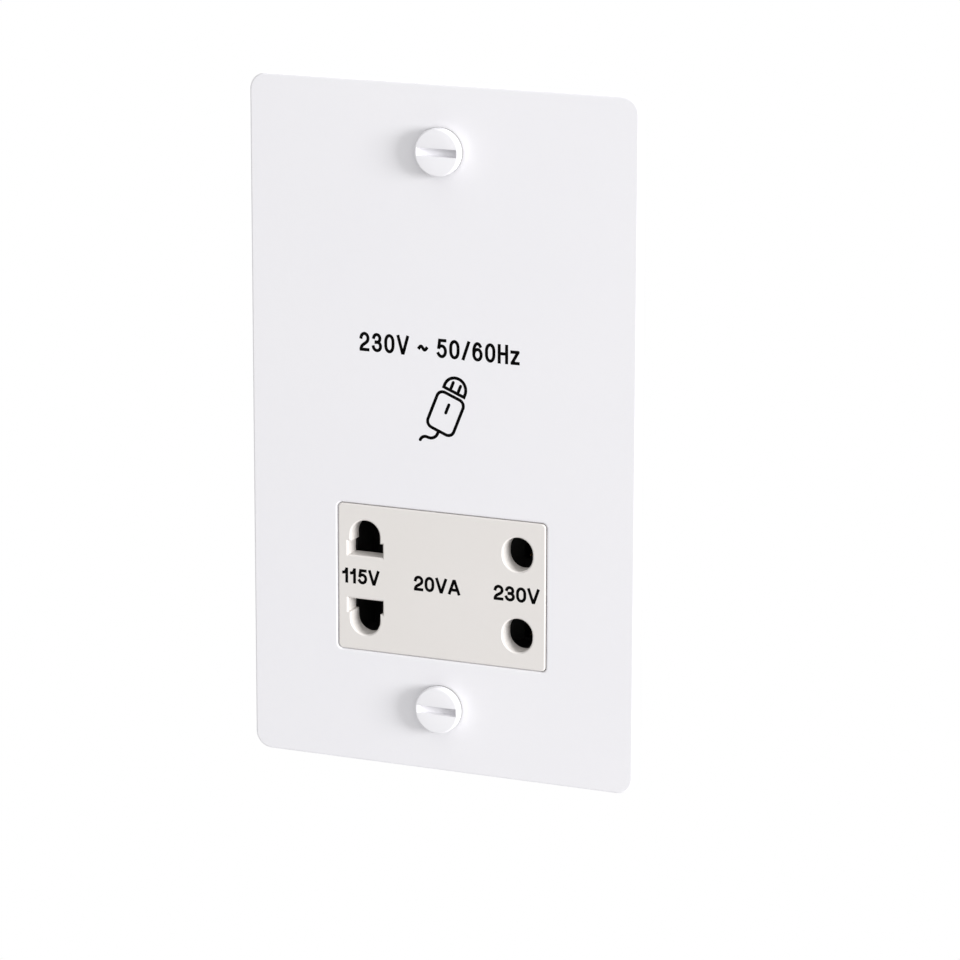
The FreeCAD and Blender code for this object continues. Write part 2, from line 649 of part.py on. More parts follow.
def make_front_moulding():
    """The off-white moulding: insert with its apertures, flange, pillars, pegs and core posts."""
    body = new_body("front_moulding")
    flange = d["flange_thick"]
    outline = box(-module_half_x, module_half_x, module_low, module_high)
    slab(body, "Pad", "Y", ZERO, flange, outline)
    soften(body, "Fillet", upright_at(module_half_x), d["module_corner"])
    insert = centred_box(ZERO, insert_z, insert_half_x, insert_half_z)
    slab(body, "Pad", "Y", insert_front, ZERO, insert)
    soften(body, "Fillet", upright_at(insert_half_x), d["insert_corner"])

    def apertures(sketch):
        for direction in (-1, 1):
            add_keyhole(sketch, -d["outlet_offset"], direction)
            z = insert_z + d["pin_spacing"] / 2 * direction
            add_obround(sketch, d["outlet_offset"], z, d["pin_width"], d["pin_height"])

    slab(body, "Pocket", "Y", insert_front, flange, apertures)
    rim_x, rim_z = insert_half_x - d["insert_corner"], insert_half_z - d["insert_corner"]
    outer = outline_at(insert_front, rim_x, insert_z - rim_z, insert_z + rim_z)
    soften(body, "Fillet", outer, d["insert_edge"])
    near_x = insert_half_x - d["insert_edge"] - d["insert_corner"]
    near_z = insert_half_z - d["insert_edge"] - d["mouth_edge"]
    outer_rim = outline_at(insert_front, near_x, insert_z - near_z, insert_z + near_z)

    def mouths(edge):
        return lies_in(edge, "Y", insert_front) and not outer_rim(edge)

    soften(body, "Chamfer", mouths, d["mouth_edge"])
    coring = centred_box(ZERO, insert_z, d["coring_width"] / 2, shutter_half_z)
    slab(body, "Pocket", "Y", insert_front + d["face_thick"], flange, coring)
    outlet_half_x = d["blade_width"] / 2 + d["outlet_coring"]
    outlet_half_z = (d["round_spacing"] + d["pin_width"]) / 2 + d["outlet_coring"]

    def outlet_corings(sketch):
        for side in (-1, 1):
            add_centred_box(sketch, d["outlet_offset"] * side, insert_z, outlet_half_x, outlet_half_z)

    slab(body, "Pocket", "Y", insert_front + d["outlet_face"], flange, outlet_corings)
    stud_hole = d["stud_diameter"] + d["stud_clearance"] * 2
    slab(body, "Pocket", "Y", ZERO, flange, circles(stud_places, stud_hole))
    slab(body, "Pad", "Y", flange, pillar_y, circles(boss_places, d["pillar_diameter"]))
    pilot = d["tapper_diameter"] + d["thread_gap"] * 2
    slab(body, "Pocket", "Y", d["pilot_floor"], pillar_y, circles(boss_places, pilot))
    slab(body, "Pad", "Y", flange, flange + d["peg_length"], circles(peg_places, d["peg_diameter"]))
    slab(body, "Pad", "Y", flange, core_y, circles(post_places, d["post_diameter"]))
    return body


def make_stud_nut(x, z, seat):
    """A hexagon nut on a weld stud."""
    nut = doc.addObject("Part::Prism", "nut_blank")
    nut.Polygon = 6
    bind(nut, "Circumradius", d["nut_width"] / (2 * math.cos(math.pi / 6)))
    hole = doc.addObject("Part::Cylinder", "nut_thread")
    bind(hole, "Radius", d["stud_diameter"] / 2 + d["thread_gap"])
    for piece in (nut, hole):
        bind(piece, "Height", d["nut_height"])
    cut = doc.addObject("Part::Cut", "stud_nut")
    cut.Base, cut.Tool = nut, hole
    cut.Placement = Placement(Vector(0, 0, 0), Rotation(Vector(1, 0, 0), -90))
    bind(cut, "Placement.Base.x", x)
    bind(cut, "Placement.Base.y", seat)
    bind(cut, "Placement.Base.z", z)
    return cut


def make_stud_nuts():
    """Four nuts, one of them on the earth tag."""
    nuts = []
    for x, z in stud_places:
        tagged = (x, z) == stud_places[-1]
        seat = d["flange_thick"] + d["tag_thick"] if tagged else d["flange_thick"]
        nuts.append(make_stud_nut(x, z, seat))
    return group("stud_nuts", nuts)


def make_shutter():
    """The interlock slide: its wedge ends are pushed aside by plug pins, and shut the other outlet."""
    body = new_body("interlock_shutter")
    middle = -(shutter_travel / 2)
    rear = d["outlet_offset"]
    front = rear - shutter_travel
    rear_y = shutter_y + d["shutter_thick"]
    outline = [
        (middle - front, shutter_y),
        (middle + front, shutter_y),
        (middle + rear, rear_y),
        (middle - rear, rear_y),
    ]
    low, high = insert_z - shutter_half_z, insert_z + shutter_half_z
    slab(body, "Pad", "Z", low, high, lambda sketch: add_polygon(sketch, outline))
    wall = d["shutter_wall"]
    hollow = centred_box(middle, insert_z, front, shutter_half_z - wall)
    slab(body, "Pocket", "Y", shutter_y + wall, rear_y, hollow)
    return body


def make_carrier():
    """The black moulding that guides the shutter and holds the contacts."""
    body = new_body("contact_carrier")
    flange = d["flange_thick"]
    slab(body, "Pad", "Y", flange, carrier_y, centred_box(ZERO, insert_z, carrier_half_x, carrier_half_z))
    slab(body, "Pocket", "Y", flange, bay_y, centred_box(ZERO, insert_z, bay_half_x, bay_half_z))
    chamber_half_x = d["blade_width"] / 2 + d["chamber_room"]
    slit_x, slit_z = d["tail_width"] / 2 + d["slit_gap"], d["strip_thick"] / 2 + d["slit_gap"]

    def chambers(sketch):
        for x, z in outlet_places.values():
            add_centred_box(sketch, x, z, chamber_half_x, d["chamber_height"] / 2)

    def slits(sketch):
        for x, z in outlet_places.values():
            add_centred_box(sketch, x, z, slit_x, slit_z)

    slab(body, "Pocket", "Y", bay_y, chamber_y, chambers)
    slab(body, "Pocket", "Y", chamber_y, carrier_y, slits)
    peg_hole = d["peg_diameter"] + d["peg_gap"] * 2
    peg_end = flange + d["peg_length"] + d["peg_room"]
    slab(body, "Pocket", "Y", flange, peg_end, circles(peg_places, peg_hole))
    return body


def make_contact(label, x, z):
    """A bronze strip folded into two leaves with a waist that grips the pin, and a solder tail."""
    body = new_body(label)
    thick = d["strip_thick"]
    mouth_y = bay_y + d["contact_seat"]
    waist_y = mouth_y + d["contact_lead_in"]
    fold_y = chamber_y - d["contact_seat"]
    left, right = x - d["contact_width"] / 2, x + d["contact_width"] / 2

    def leaves(inset, end_y):
        mouth = d["contact_mouth"] / 2 - inset
        waist = d["contact_grip"] / 2 + thick - inset
        fold = d["contact_root"] / 2 - inset
        return [
            (mouth_y, z - mouth),
            (waist_y, z - waist),
            (end_y, z - fold),
            (end_y, z + fold),
            (waist_y, z + waist),
            (mouth_y, z + mouth),
        ]

    slab(body, "Pad", "X", left, right, lambda sketch: add_polygon(sketch, leaves(ZERO, fold_y)))
    hollow = leaves(thick, fold_y - thick)
    slab(body, "Pocket", "X", left, right, lambda sketch: add_polygon(sketch, hollow))
    tail = centred_box(x, z, d["tail_width"] / 2, thick / 2)
    slab(body, "Pad", "Y", fold_y - thick, carrier_y + d["tail_reach"], tail)
    return body


def make_common_link():
    """The strip across the carrier's back that joins the two lower contact tails."""
    body = new_body("common_link")
    half_x = d["outlet_offset"] + d["tail_width"] / 2 + d["link_end"]
    z = insert_z - d["pin_spacing"] / 2
    strip = centred_box(ZERO, z, half_x, d["link_height"] / 2)
    slab(body, "Pad", "Y", carrier_y, carrier_y + d["strip_thick"], strip)

    def slits(sketch):
        for side in (-1, 1):
            add_centred_box(
                sketch,
                d["outlet_offset"] * side,
                z,
                d["tail_width"] / 2 + d["solder_gap"],
                d["strip_thick"] / 2 + d["solder_gap"],
            )

    slab(body, "Pocket", "Y", carrier_y, carrier_y + d["strip_thick"], slits)
    return body


def make_core_e():
    """The E stack of a scrapless lamination, legs downwards."""
    body = new_body("core_e_stack")
    leg, half = d["core_leg"], d["core_leg"] / 2
    low, window_high = core_low + yoke, core_high - yoke
    right = [
        (core_half_x, core_high),
        (core_half_x, low),
        (leg, low),
        (leg, window_high),
        (half, window_high),
        (half, low),
    ]
    outline = right + [(-x, z) for x, z in reversed(right)]
    slab(body, "Pad", "Y", core_y, core_back_y, lambda sketch: add_polygon(sketch, outline))
    return body


def make_core_i():
    """The I stack that closes the legs."""
    body = new_body("core_i_stack")
    bar = box(-core_half_x, core_half_x, core_low, core_low + yoke)
    slab(body, "Pad", "Y", core_y, core_back_y, bar)
    return body


former_low = core_low + yoke + d["former_gap"]
former_high = core_high - yoke - d["former_gap"]
former_mid = (former_low + former_high) / 2
former_half_x = d["core_leg"] - d["former_gap"] * 2
former_half_y = d["core_stack"] / 2 + d["former_reach"]
tube_half_x = d["core_leg"] / 2 + d["former_gap"] + d["former_wall"]
tube_half_y = d["core_stack"] / 2 + d["former_gap"] + d["former_wall"]
winding_half_x = former_half_x - d["winding_inset"]
winding_half_y = former_half_y - d["winding_inset"]
winding_spans = {
    "secondary": (
        former_low + d["former_flange"] + d["winding_gap"],
        former_mid - d["former_flange"] / 2 - d["winding_gap"],
    ),
    "primary": (
        former_mid + d["former_flange"] / 2 + d["winding_gap"],
        former_high - d["former_flange"] - d["winding_gap"],
    ),
}


def make_former():
    """The two-section coil former on the centre leg."""
    body = new_body("coil_former")
    flange = d["former_flange"]
    tube = rounded_box(ZERO, core_middle_y, tube_half_x, tube_half_y, d["former_wall"])
    disc = centred_box(ZERO, core_middle_y, former_half_x, former_half_y)
    slab(body, "Pad", "Z", former_low, former_high, tube)
    for low in (former_low, former_mid - flange / 2, former_high - flange):
        slab(body, "Pad", "Z", low, low + flange, disc)
    inner_x, inner_y = tube_half_x - d["former_wall"], tube_half_y - d["former_wall"]
    opening = centred_box(ZERO, core_middle_y, inner_x, inner_y)
    slab(body, "Pocket", "Z", former_low, former_high, opening)
    return body


def make_ring(label, span, outer, inner):
    """A round-cornered ring about the centre leg, from two (half_x, half_y, corner) outlines."""
    body = new_body(label)
    for kind, outline in (("Pad", outer), ("Pocket", inner)):
        slab(body, kind, "Z", *span, rounded_box(ZERO, core_middle_y, *outline))
    return body


def make_windings():
    """The two windings and the tape round each."""
    pieces = []
    gap, tape, corner = d["winding_gap"], d["wrap_thick"], d["winding_corner"]
    tube = (tube_half_x + gap, tube_half_y + gap, d["former_wall"] + gap)
    coil = (winding_half_x, winding_half_y, corner)
    tape_inside, tape_outside = [
        tuple(size + grown for size in coil) for grown in (gap, gap + tape)
    ]
    for name, span in winding_spans.items():
        pieces.append(make_ring(f"{name}_winding", span, coil, tube))
        pieces.append(make_ring(f"{name}_wrap", span, tape_outside, tape_inside))
    return pieces


pin_y = core_middle_y + former_half_y - d["pin_inset"]
secondary_pins = [d["pin_pitch"] * step for step in (-1, 0, 1)]
primary_pins = [d["primary_shift"], d["primary_shift"] + d["pin_pitch"]]


def make_former_pins():
    """Solder pins under the secondary and over the primary section."""
    side, reach = d["pin_side"], d["pin_reach"]
    places = [(x, former_low - reach) for x in secondary_pins]
    places += [(x, former_high) for x in primary_pins]
    pins = []
    for x, low in places:
        pin = doc.addObject("Part::Box", "former_pin")
        for name in ("Length", "Width"):
            bind(pin, name, side)
        bind(pin, "Height", reach)
        bind(pin, "Placement.Base.x", x - side / 2)
        bind(pin, "Placement.Base.y", pin_y - side / 2)
        bind(pin, "Placement.Base.z", low)
        pins.append(pin)
    return group("former_pins", pins)


cutout_z = core_high - yoke / 2
cutout_y = core_back_y + d["cutout_thick"] / 2
cutout_left = -d["cutout_offset"] - d["cutout_width"] / 2
cutout_right = cutout_left + d["cutout_width"]


def make_cutout():
    """The overload cut-out on the core's yoke, with a solder tag at each end."""
    body = new_body("thermal_cutout")
    half_z, thick = d["cutout_height"] / 2, d["strip_thick"]
    case = box(cutout_left, cutout_right, cutout_z - half_z, cutout_z + half_z)
    slab(body, "Pad", "Y", core_back_y, core_back_y + d["cutout_thick"], case)
    tag = centred_box(cutout_y, cutout_z, d["cutout_tag_width"] / 2, thick / 2)
    slab(body, "Pad", "X", cutout_left - d["cutout_tag"], cutout_right + d["cutout_tag"], tag)
    return body


def make_rear_housing():
    """The stepped housing: wide and shallow, with a narrower deep part over the transformer."""
    body = new_body("rear_housing")
    flange, wall = d["flange_thick"], d["housing_wall"]
    half, inner = module_half_x, module_half_x - wall
    deep_half, deep_inner = deep_half_x, deep_half_x - wall
    corner = d["module_corner"]
    slab(body, "Pad", "Y", flange, step_y, box(-half, half, module_low, module_high))
    slab(body, "Pad", "Y", step_y, back_y, box(-deep_half, deep_half, step_z, deep_top))
    soften(body, "Fillet", upright_at(half), corner)
    soften(body, "Fillet", upright_at(deep_half), corner)

    def back_rims(edge):
        if lies_in(edge, "Y", back_y):
            return True
        middle = edge.CenterOfMass
        beside = abs(middle.x) > deep_half.value + wall.value
        over = middle.z > deep_top.value + wall.value
        under = middle.z < step_z.value - wall.value
        return lies_in(edge, "Y", step_y) and (beside or over or under)

    soften(body, "Fillet", back_rims, d["rim_edge"])
    slab(body, "Pocket", "Y", flange, wiring_y, box(-inner, inner, module_low + wall, module_high - wall))
    hollow = box(-deep_inner, deep_inner, step_z + wall, deep_top - wall)
    slab(body, "Pocket", "Y", wiring_y, deep_y, hollow)
    soften(body, "Fillet", upright_at(inner), corner - wall)
    soften(body, "Fillet", upright_at(deep_inner), corner - wall)
    shaft = d["tapper_head"] + d["tapper_clearance"] * 2
    slab(body, "Pad", "Y", pillar_y, wiring_y, circles(boss_places, d["boss_diameter"]))
    slab(body, "Pocket", "Y", seat_y, step_y, circles(boss_places, shaft))
    clearance = d["tapper_diameter"] + d["tapper_clearance"] * 2
    slab(body, "Pocket", "Y", pillar_y, seat_y, circles(boss_places, clearance))
    slab(body, "Pad", "Y", core_back_y, deep_y, circles(post_places, d["post_diameter"]))
    pad_x, pad_z = carrier_half_x - d["pad_inset"], carrier_half_z - d["pad_inset"]
    pads = [(pad_x * side, insert_z + pad_z * way) for side in (-1, 1) for way in (-1, 1)]
    slab(body, "Pad", "Y", carrier_y, wiring_y, circles(pads, d["pad_diameter"]))
    slit = d["terminal_pin"] / 2 + d["slit_gap"]

    def pin_slits(sketch):
        for x in terminal_places.values():
            add_centred_box(sketch, x, insert_z, slit, slit)

    slab(body, "Pocket", "Y", wiring_y, step_y, pin_slits)
    slab(body, "Pocket", "Y", wiring_y, step_y, circles(block_pegs, d["peg_diameter"] + d["peg_gap"] * 2))
    first_x = -(d["vent_pitch"] * ((VENT_COUNT - 1) / 2))
    vent_z = (core_low + core_high) / 2

    def vent_slot(sketch):
        add_obround(sketch, first_x, vent_z, d["vent_width"], d["vent_height"])

    vent = slab(body, "Pocket", "Y", deep_y, back_y, vent_slot)
    doc.recompute()
    vents = body.newObject("PartDesign::LinearPattern", "LinearPattern")
    vents.Originals = [vent]
    vents.Direction = (vent.Profile[0], ["H_Axis"])
    vents.Occurrences = VENT_COUNT
    bind(vents, "Length", d["vent_pitch"] * (VENT_COUNT - 1))
    body.Tip = vents
    return body


def make_housing_screw(x, z):
    """A pan-head screw with a cross recess, sunk in a boss of the housing."""
    body = new_body("housing_screw")
    head, shank = d["tapper_head"] / 2, d["tapper_diameter"] / 2
    tip, back = d["pilot_floor"] + d["tapper_room"], seat_y + d["tapper_rise"]
    profile = [
        (tip, ZERO),
        (tip, shank),
        (seat_y, shank),
        (seat_y, head),
        (back - d["tapper_chamfer"], head),
        (back, head - d["tapper_chamfer"]),
        (back, ZERO),
    ]
    turn(body, x, z, profile)
    long, short = d["recess_length"] / 2, d["recess_width"] / 2
    for half_x, half_z in ((long, short), (short, long)):
        arm = centred_box(x, z, half_x, half_z)
        slab(body, "Pocket", "Y", back - d["tapper_recess"], back, arm)
    return body


block_half_x = d["terminal_pitch"] + d["terminal_width"] / 2 + d["terminal_gap"] + d["block_wall"]
block_half_z = d["terminal_height"] / 2 + d["terminal_gap"] + d["block_margin"]
block_peg_x = block_half_x - d["block_peg_inset"]
block_peg_z = insert_z + block_half_z - d["block_peg_inset"]
block_pegs = [(block_peg_x * side, block_peg_z) for side in (-1, 1)]


def make_terminal_block():
    """The supply terminals' moulding, open to the back, with wire entries from below."""
    body = new_body("terminal_block")
    block_y = step_y + d["block_depth"]
    slab(body, "Pad", "Y", step_y, block_y, centred_box(ZERO, insert_z, block_half_x, block_half_z))
    soften(body, "Fillet", upright_at(block_half_x), d["rim_edge"])
    half_x = d["terminal_width"] / 2 + d["terminal_gap"]
    half_z = d["terminal_height"] / 2 + d["terminal_gap"]
    slit = d["terminal_pin"] / 2 + d["slit_gap"]

    def chambers(sketch):
        for x in terminal_places.values():
            add_centred_box(sketch, x, insert_z, half_x, half_z)

    def entries(sketch):
        for x in terminal_places.values():
            side = d["entry_width"] / 2
            add_box(sketch, x - side, x + side, insert_z - block_half_z, insert_z - half_z)

    def slits(sketch):
        for x in terminal_places.values():
            add_centred_box(sketch, x, insert_z, slit, slit)

    slab(body, "Pocket", "Y", terminal_y, block_y, chambers)
    slab(body, "Pocket", "Y", bore_y - d["entry_width"] / 2, block_y, entries)
    slab(body, "Pocket", "Y", step_y, terminal_y, slits)
    slab(body, "Pad", "Y", wiring_y, step_y, circles(block_pegs, d["peg_diameter"]))
    return body


def make_terminal(label, x):
    """A brass terminal with an upright wire bore, a tapped hole and a pin into the housing."""
    body = new_body(label)
    half_x, half_z = d["terminal_width"] / 2, d["terminal_height"] / 2
    slab(body, "Pad", "Y", terminal_y, terminal_back_y, centred_box(x, insert_z, half_x, half_z))
    bore = circles([(x, bore_y)], d["terminal_bore"])
    slab(body, "Pocket", "Z", insert_z - half_z, insert_z + half_z, bore)
    thread = circles([(x, insert_z)], d["clamp_diameter"] + d["thread_gap"] * 2)
    slab(body, "Pocket", "Y", bore_y, terminal_back_y, thread)
    pin = centred_box(x, insert_z, d["terminal_pin"] / 2, d["terminal_pin"] / 2)
    slab(body, "Pad", "Y", lead_y - d["terminal_pin"] / 2, terminal_y, pin)
    return body


def make_terminal_screw(x):
    """A slotted cheese-head screw, opened so that its tip clears the wire bore."""
    body = new_body("terminal_screw")
    head, thread = d["clamp_head"] / 2, d["clamp_diameter"] / 2
    tip = bore_y + d["terminal_bore"] / 2 + d["clamp_open"]
    back = terminal_back_y + d["clamp_rise"]
    profile = [
        (tip, ZERO),
        (tip, thread),
        (terminal_back_y, thread),
        (terminal_back_y, head),
        (back, head),
        (back, ZERO),
    ]
    turn(body, x, insert_z, profile)
    slot = centred_box(x, insert_z, head, d["clamp_slot"] / 2)
    slab(body, "Pocket", "Y", back - d["clamp_rise"] / 2, back, slot)
    return body


tag_x, tag_z = stud_places[-1]
barrel_end = tag_x - d["tag_diameter"] / 2 - d["tag_neck"] - d["barrel_length"]


def make_earth_tag():
    """The ring tag under one stud nut, with a crimp barrel for the earth wire."""
    body = new_body("earth_tag")
    seat, thick = d["flange_thick"], d["tag_thick"]
    slab(body, "Pad", "Y", seat, seat + thick, circles([(tag_x, tag_z)], d["tag_diameter"]))
    barrel = d["barrel_diameter"] / 2
    neck = box(barrel_end, tag_x, tag_z - barrel, tag_z + barrel)
    slab(body, "Pad", "Y", seat, seat + thick, neck)
    stud_hole = d["stud_diameter"] + d["stud_clearance"] * 2
    slab(body, "Pocket", "Y", seat, seat + thick, circles([(tag_x, tag_z)], stud_hole))
    crimp = circles([(seat + barrel, tag_z)], d["barrel_diameter"])
    slab(body, "Pad", "X", barrel_end, barrel_end + d["barrel_length"], crimp)
    return body


def route(points, bend):
    """A path of straight runs joined by tangent arcs of one bend radius, smaller where a run is short."""
    edges = []
    start = points[0]
    for before, corner, after in zip(points, points[1:], points[2:]):
        back, ahead = before - corner, after - corner
        half_turn = (math.pi - back.getAngle(ahead)) / 2
        shorter = min(back.Length, ahead.Length)
        radius = min(bend, BEND_SHARE * shorter / math.tan(half_turn))
        setback = radius * math.tan(half_turn)
        back.normalize()
        ahead.normalize()
        entry, leave = corner + back * setback, corner + ahead * setback
        inward = (back + ahead).normalize()
        middle = corner + inward * (radius / math.cos(half_turn) - radius)
        edges.append(Part.LineSegment(start, entry).toShape())
        edges.append(Part.Arc(entry, middle, leave).toShape())
        start = leave
    edges.append(Part.LineSegment(start, points[-1]).toShape())
    return Part.Wire(edges)


def make_lead(label, places):
    """An insulated wire along a list of (x, y, z) sizes."""
    points = [Vector(x.value, y.value, z.value) for x, y, z in places]
    path = route(points, d["lead_bend"].value)
    radius = d["lead_diameter"].value / 2
    section = Part.Wire(Part.Circle(points[0], points[1] - points[0], radius).toShape())
    lead = doc.addObject("Part::Feature", label)
    lead.Label = label
    lead.Shape = path.makePipeShell([section], True, True)
    lead.Placement = Placement()
    return lead


def make_leads():
    """The wires between terminals, cut-out, former pins, contacts and earth tag."""
    pin = d["terminal_pin"] / 2
    edge_x = carrier_half_x + d["lead_way"]
    turn_z = step_z + d["housing_wall"] + d["core_rise"] / 2
    over_z = core_high + d["core_over"] / 2
    tail_z = insert_z + d["pin_spacing"] / 2 + d["strip_thick"] / 2
    link_z = insert_z - d["pin_spacing"] / 2 - d["link_height"] / 2
    pin_low, pin_high = former_low - d["pin_reach"], former_high + d["pin_reach"]
    cutout_tag_x = cutout_left - d["cutout_tag"] / 2
    live_x, neutral_x = terminal_places["live_terminal"], terminal_places["neutral_terminal"]
    half_pin = d["pin_side"] / 2
    earth_y = d["flange_thick"] + d["barrel_diameter"] / 2
    leads = {
        "live_lead": [
            (live_x - pin, lead_y, insert_z),
            (-edge_x, lead_y, insert_z),
            (-edge_x, lead_y, over_z),
            (cutout_tag_x, lead_y, over_z),
            (cutout_tag_x, cutout_y, over_z),
            (cutout_tag_x, cutout_y, cutout_z + d["strip_thick"] / 2),
        ],
        "cutout_lead": [
            (cutout_right + d["cutout_tag"], cutout_y, cutout_z),
            (primary_pins[0], cutout_y, cutout_z),
            (primary_pins[0], pin_y - half_pin, cutout_z),
        ],
        "neutral_lead": [
            (neutral_x + pin, lead_y, insert_z),
            (edge_x, lead_y, insert_z),
            (edge_x, lead_y, over_z),
            (primary_pins[1], lead_y, over_z),
            (primary_pins[1], pin_y, over_z),
            (primary_pins[1], pin_y, pin_high),
        ],
        "lead_115": [
            (-d["outlet_offset"], lead_y, tail_z),
            (-d["outlet_offset"], lead_y, turn_z),
            (secondary_pins[0], pin_y, turn_z),
            (secondary_pins[0], pin_y, pin_low),
        ],
        "lead_230": [
            (d["outlet_offset"], lead_y, tail_z),
            (d["outlet_offset"], lead_y, turn_z),
            (secondary_pins[2], pin_y, turn_z),
            (secondary_pins[2], pin_y, pin_low),
        ],
        "common_lead": [
            (live_x / 2, lead_y, link_z),
            (live_x / 2, lead_y, turn_z),
            (secondary_pins[1], pin_y, turn_z),
            (secondary_pins[1], pin_y, pin_low),
        ],
        "earth_lead": [
            (ZERO, lead_y, insert_z + pin),
            (ZERO, lead_y, tag_z),
            (ZERO, earth_y, tag_z),
            (barrel_end, earth_y, tag_z),
        ],
    }
    return [make_lead(label, places) for label, places in leads.items()]


def make_all():
    """Every piece, in the order of assembly from the front."""
    pieces = [
        make_faceplate(),
        group("fixing_screws", [make_fixing_screw(side) for side in (1, -1)]),
        make_front_moulding(),
        make_stud_nuts(),
        make_shutter(),
        make_carrier(),
    ]
    pieces += [make_contact(label, x, z) for label, (x, z) in outlet_places.items()]
    pieces += [make_common_link(), make_core_e(), make_core_i(), make_former()]
    pieces += make_windings()
    pieces += [make_former_pins(), make_cutout(), make_rear_housing()]
    pieces.append(group("housing_screws", [make_housing_screw(x, z) for x, z in boss_places]))
    pieces.append(make_terminal_block())
    pieces += [make_terminal(label, x) for label, x in terminal_places.items()]
    screws = [make_terminal_screw(x) for x in terminal_places.values()]
    pieces.append(group("terminal_screws", screws))
    pieces.append(make_earth_tag())
    pieces += make_leads()
    return pieces


nodes = make_all()
doc.recompute()
for item in doc.Objects:
    if "Invalid" in item.State or "Error" in item.State:
        raise RuntimeError(f"{item.Label} failed: {item.State}")
for piece in nodes:
    if piece.Shape.isNull() or not piece.Shape.isValid():
        raise RuntimeError(f"{piece.Label} has no valid shape")

os.makedirs("parts", exist_ok=True)
for piece in nodes:
    piece.Shape.exportStep(os.path.join("parts", f"{piece.Label}.step"))
    print(f"{piece.Label}: {len(piece.Shape.Solids)} solid, {piece.Shape.Volume:.1f} mm3")
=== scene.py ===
"""Looks of a dual-voltage shaver socket: finishes, print, screw threads, light and camera.

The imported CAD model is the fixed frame, in metres. The plate faces -Y, +Z is up and the wall plane
is y = 0.
"""
import json
import logging
import math
from dataclasses import dataclass, field
from enum import Enum
from typing import Callable, Sequence

import bmesh
import bpy
from bmesh.types import BMesh, BMVert
from bpy.types import Material, Mesh, Node, NodeOutputs, NodeSocket, NodeTree, Object
from mathutils import Matrix, Vector

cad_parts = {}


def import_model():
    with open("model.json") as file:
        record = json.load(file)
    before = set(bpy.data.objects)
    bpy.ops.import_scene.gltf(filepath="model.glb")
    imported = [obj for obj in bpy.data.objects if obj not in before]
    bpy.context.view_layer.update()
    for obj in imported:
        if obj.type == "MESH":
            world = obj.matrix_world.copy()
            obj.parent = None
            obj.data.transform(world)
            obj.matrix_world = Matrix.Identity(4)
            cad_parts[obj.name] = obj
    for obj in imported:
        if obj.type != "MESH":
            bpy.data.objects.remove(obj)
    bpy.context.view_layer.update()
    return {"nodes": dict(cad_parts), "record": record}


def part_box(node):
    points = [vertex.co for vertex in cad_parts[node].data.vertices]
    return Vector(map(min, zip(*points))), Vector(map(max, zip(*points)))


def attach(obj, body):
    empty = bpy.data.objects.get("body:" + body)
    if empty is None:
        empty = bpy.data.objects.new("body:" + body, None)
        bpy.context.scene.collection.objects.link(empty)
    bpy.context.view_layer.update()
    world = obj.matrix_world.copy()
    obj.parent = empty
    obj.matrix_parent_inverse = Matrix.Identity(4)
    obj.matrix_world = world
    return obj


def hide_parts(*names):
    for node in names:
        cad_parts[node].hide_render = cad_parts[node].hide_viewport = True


LOG = logging.getLogger("shaver_socket")
FIXED_BODY = "socket"
MM = 0.001
WHITE = (1.0, 1.0, 1.0, 1.0)

Colour = tuple[float, float, float, float]
Point = tuple[float, float]
Sockets = dict[str, NodeSocket]


class Ends(Enum):
    """How an open stroke ends."""

    ROUND = "round"
    SQUARE = "square"


class Facing(Enum):
    """Which way a flat mark looks: the axes that its right, its top and its front point along."""

    ROOM = ((1, 0, 0), (0, 0, 1), (0, -1, 0))
    WALL = ((-1, 0, 0), (0, 0, 1), (0, 1, 0))

    def matrix(self) -> Matrix:
        """The turn from a drawing's own axes to the frame's."""
        return Matrix(self.value).transposed().to_4x4()


def srgb(red: int, green: int, blue: int) -> Colour:
    """Turns a display colour into linear light.

    Args:
        red: Red, 0 to 255.
        green: Green, 0 to 255.
        blue: Blue, 0 to 255.

    Returns:
        The linear colour with full opacity.
    """

    def linear(channel: int) -> float:
        """One channel of the display curve."""
        share = channel / 255
        return share / 12.92 if share <= 0.04045 else ((share + 0.055) / 1.055) ** 2.4

    return (linear(red), linear(green), linear(blue), 1.0)


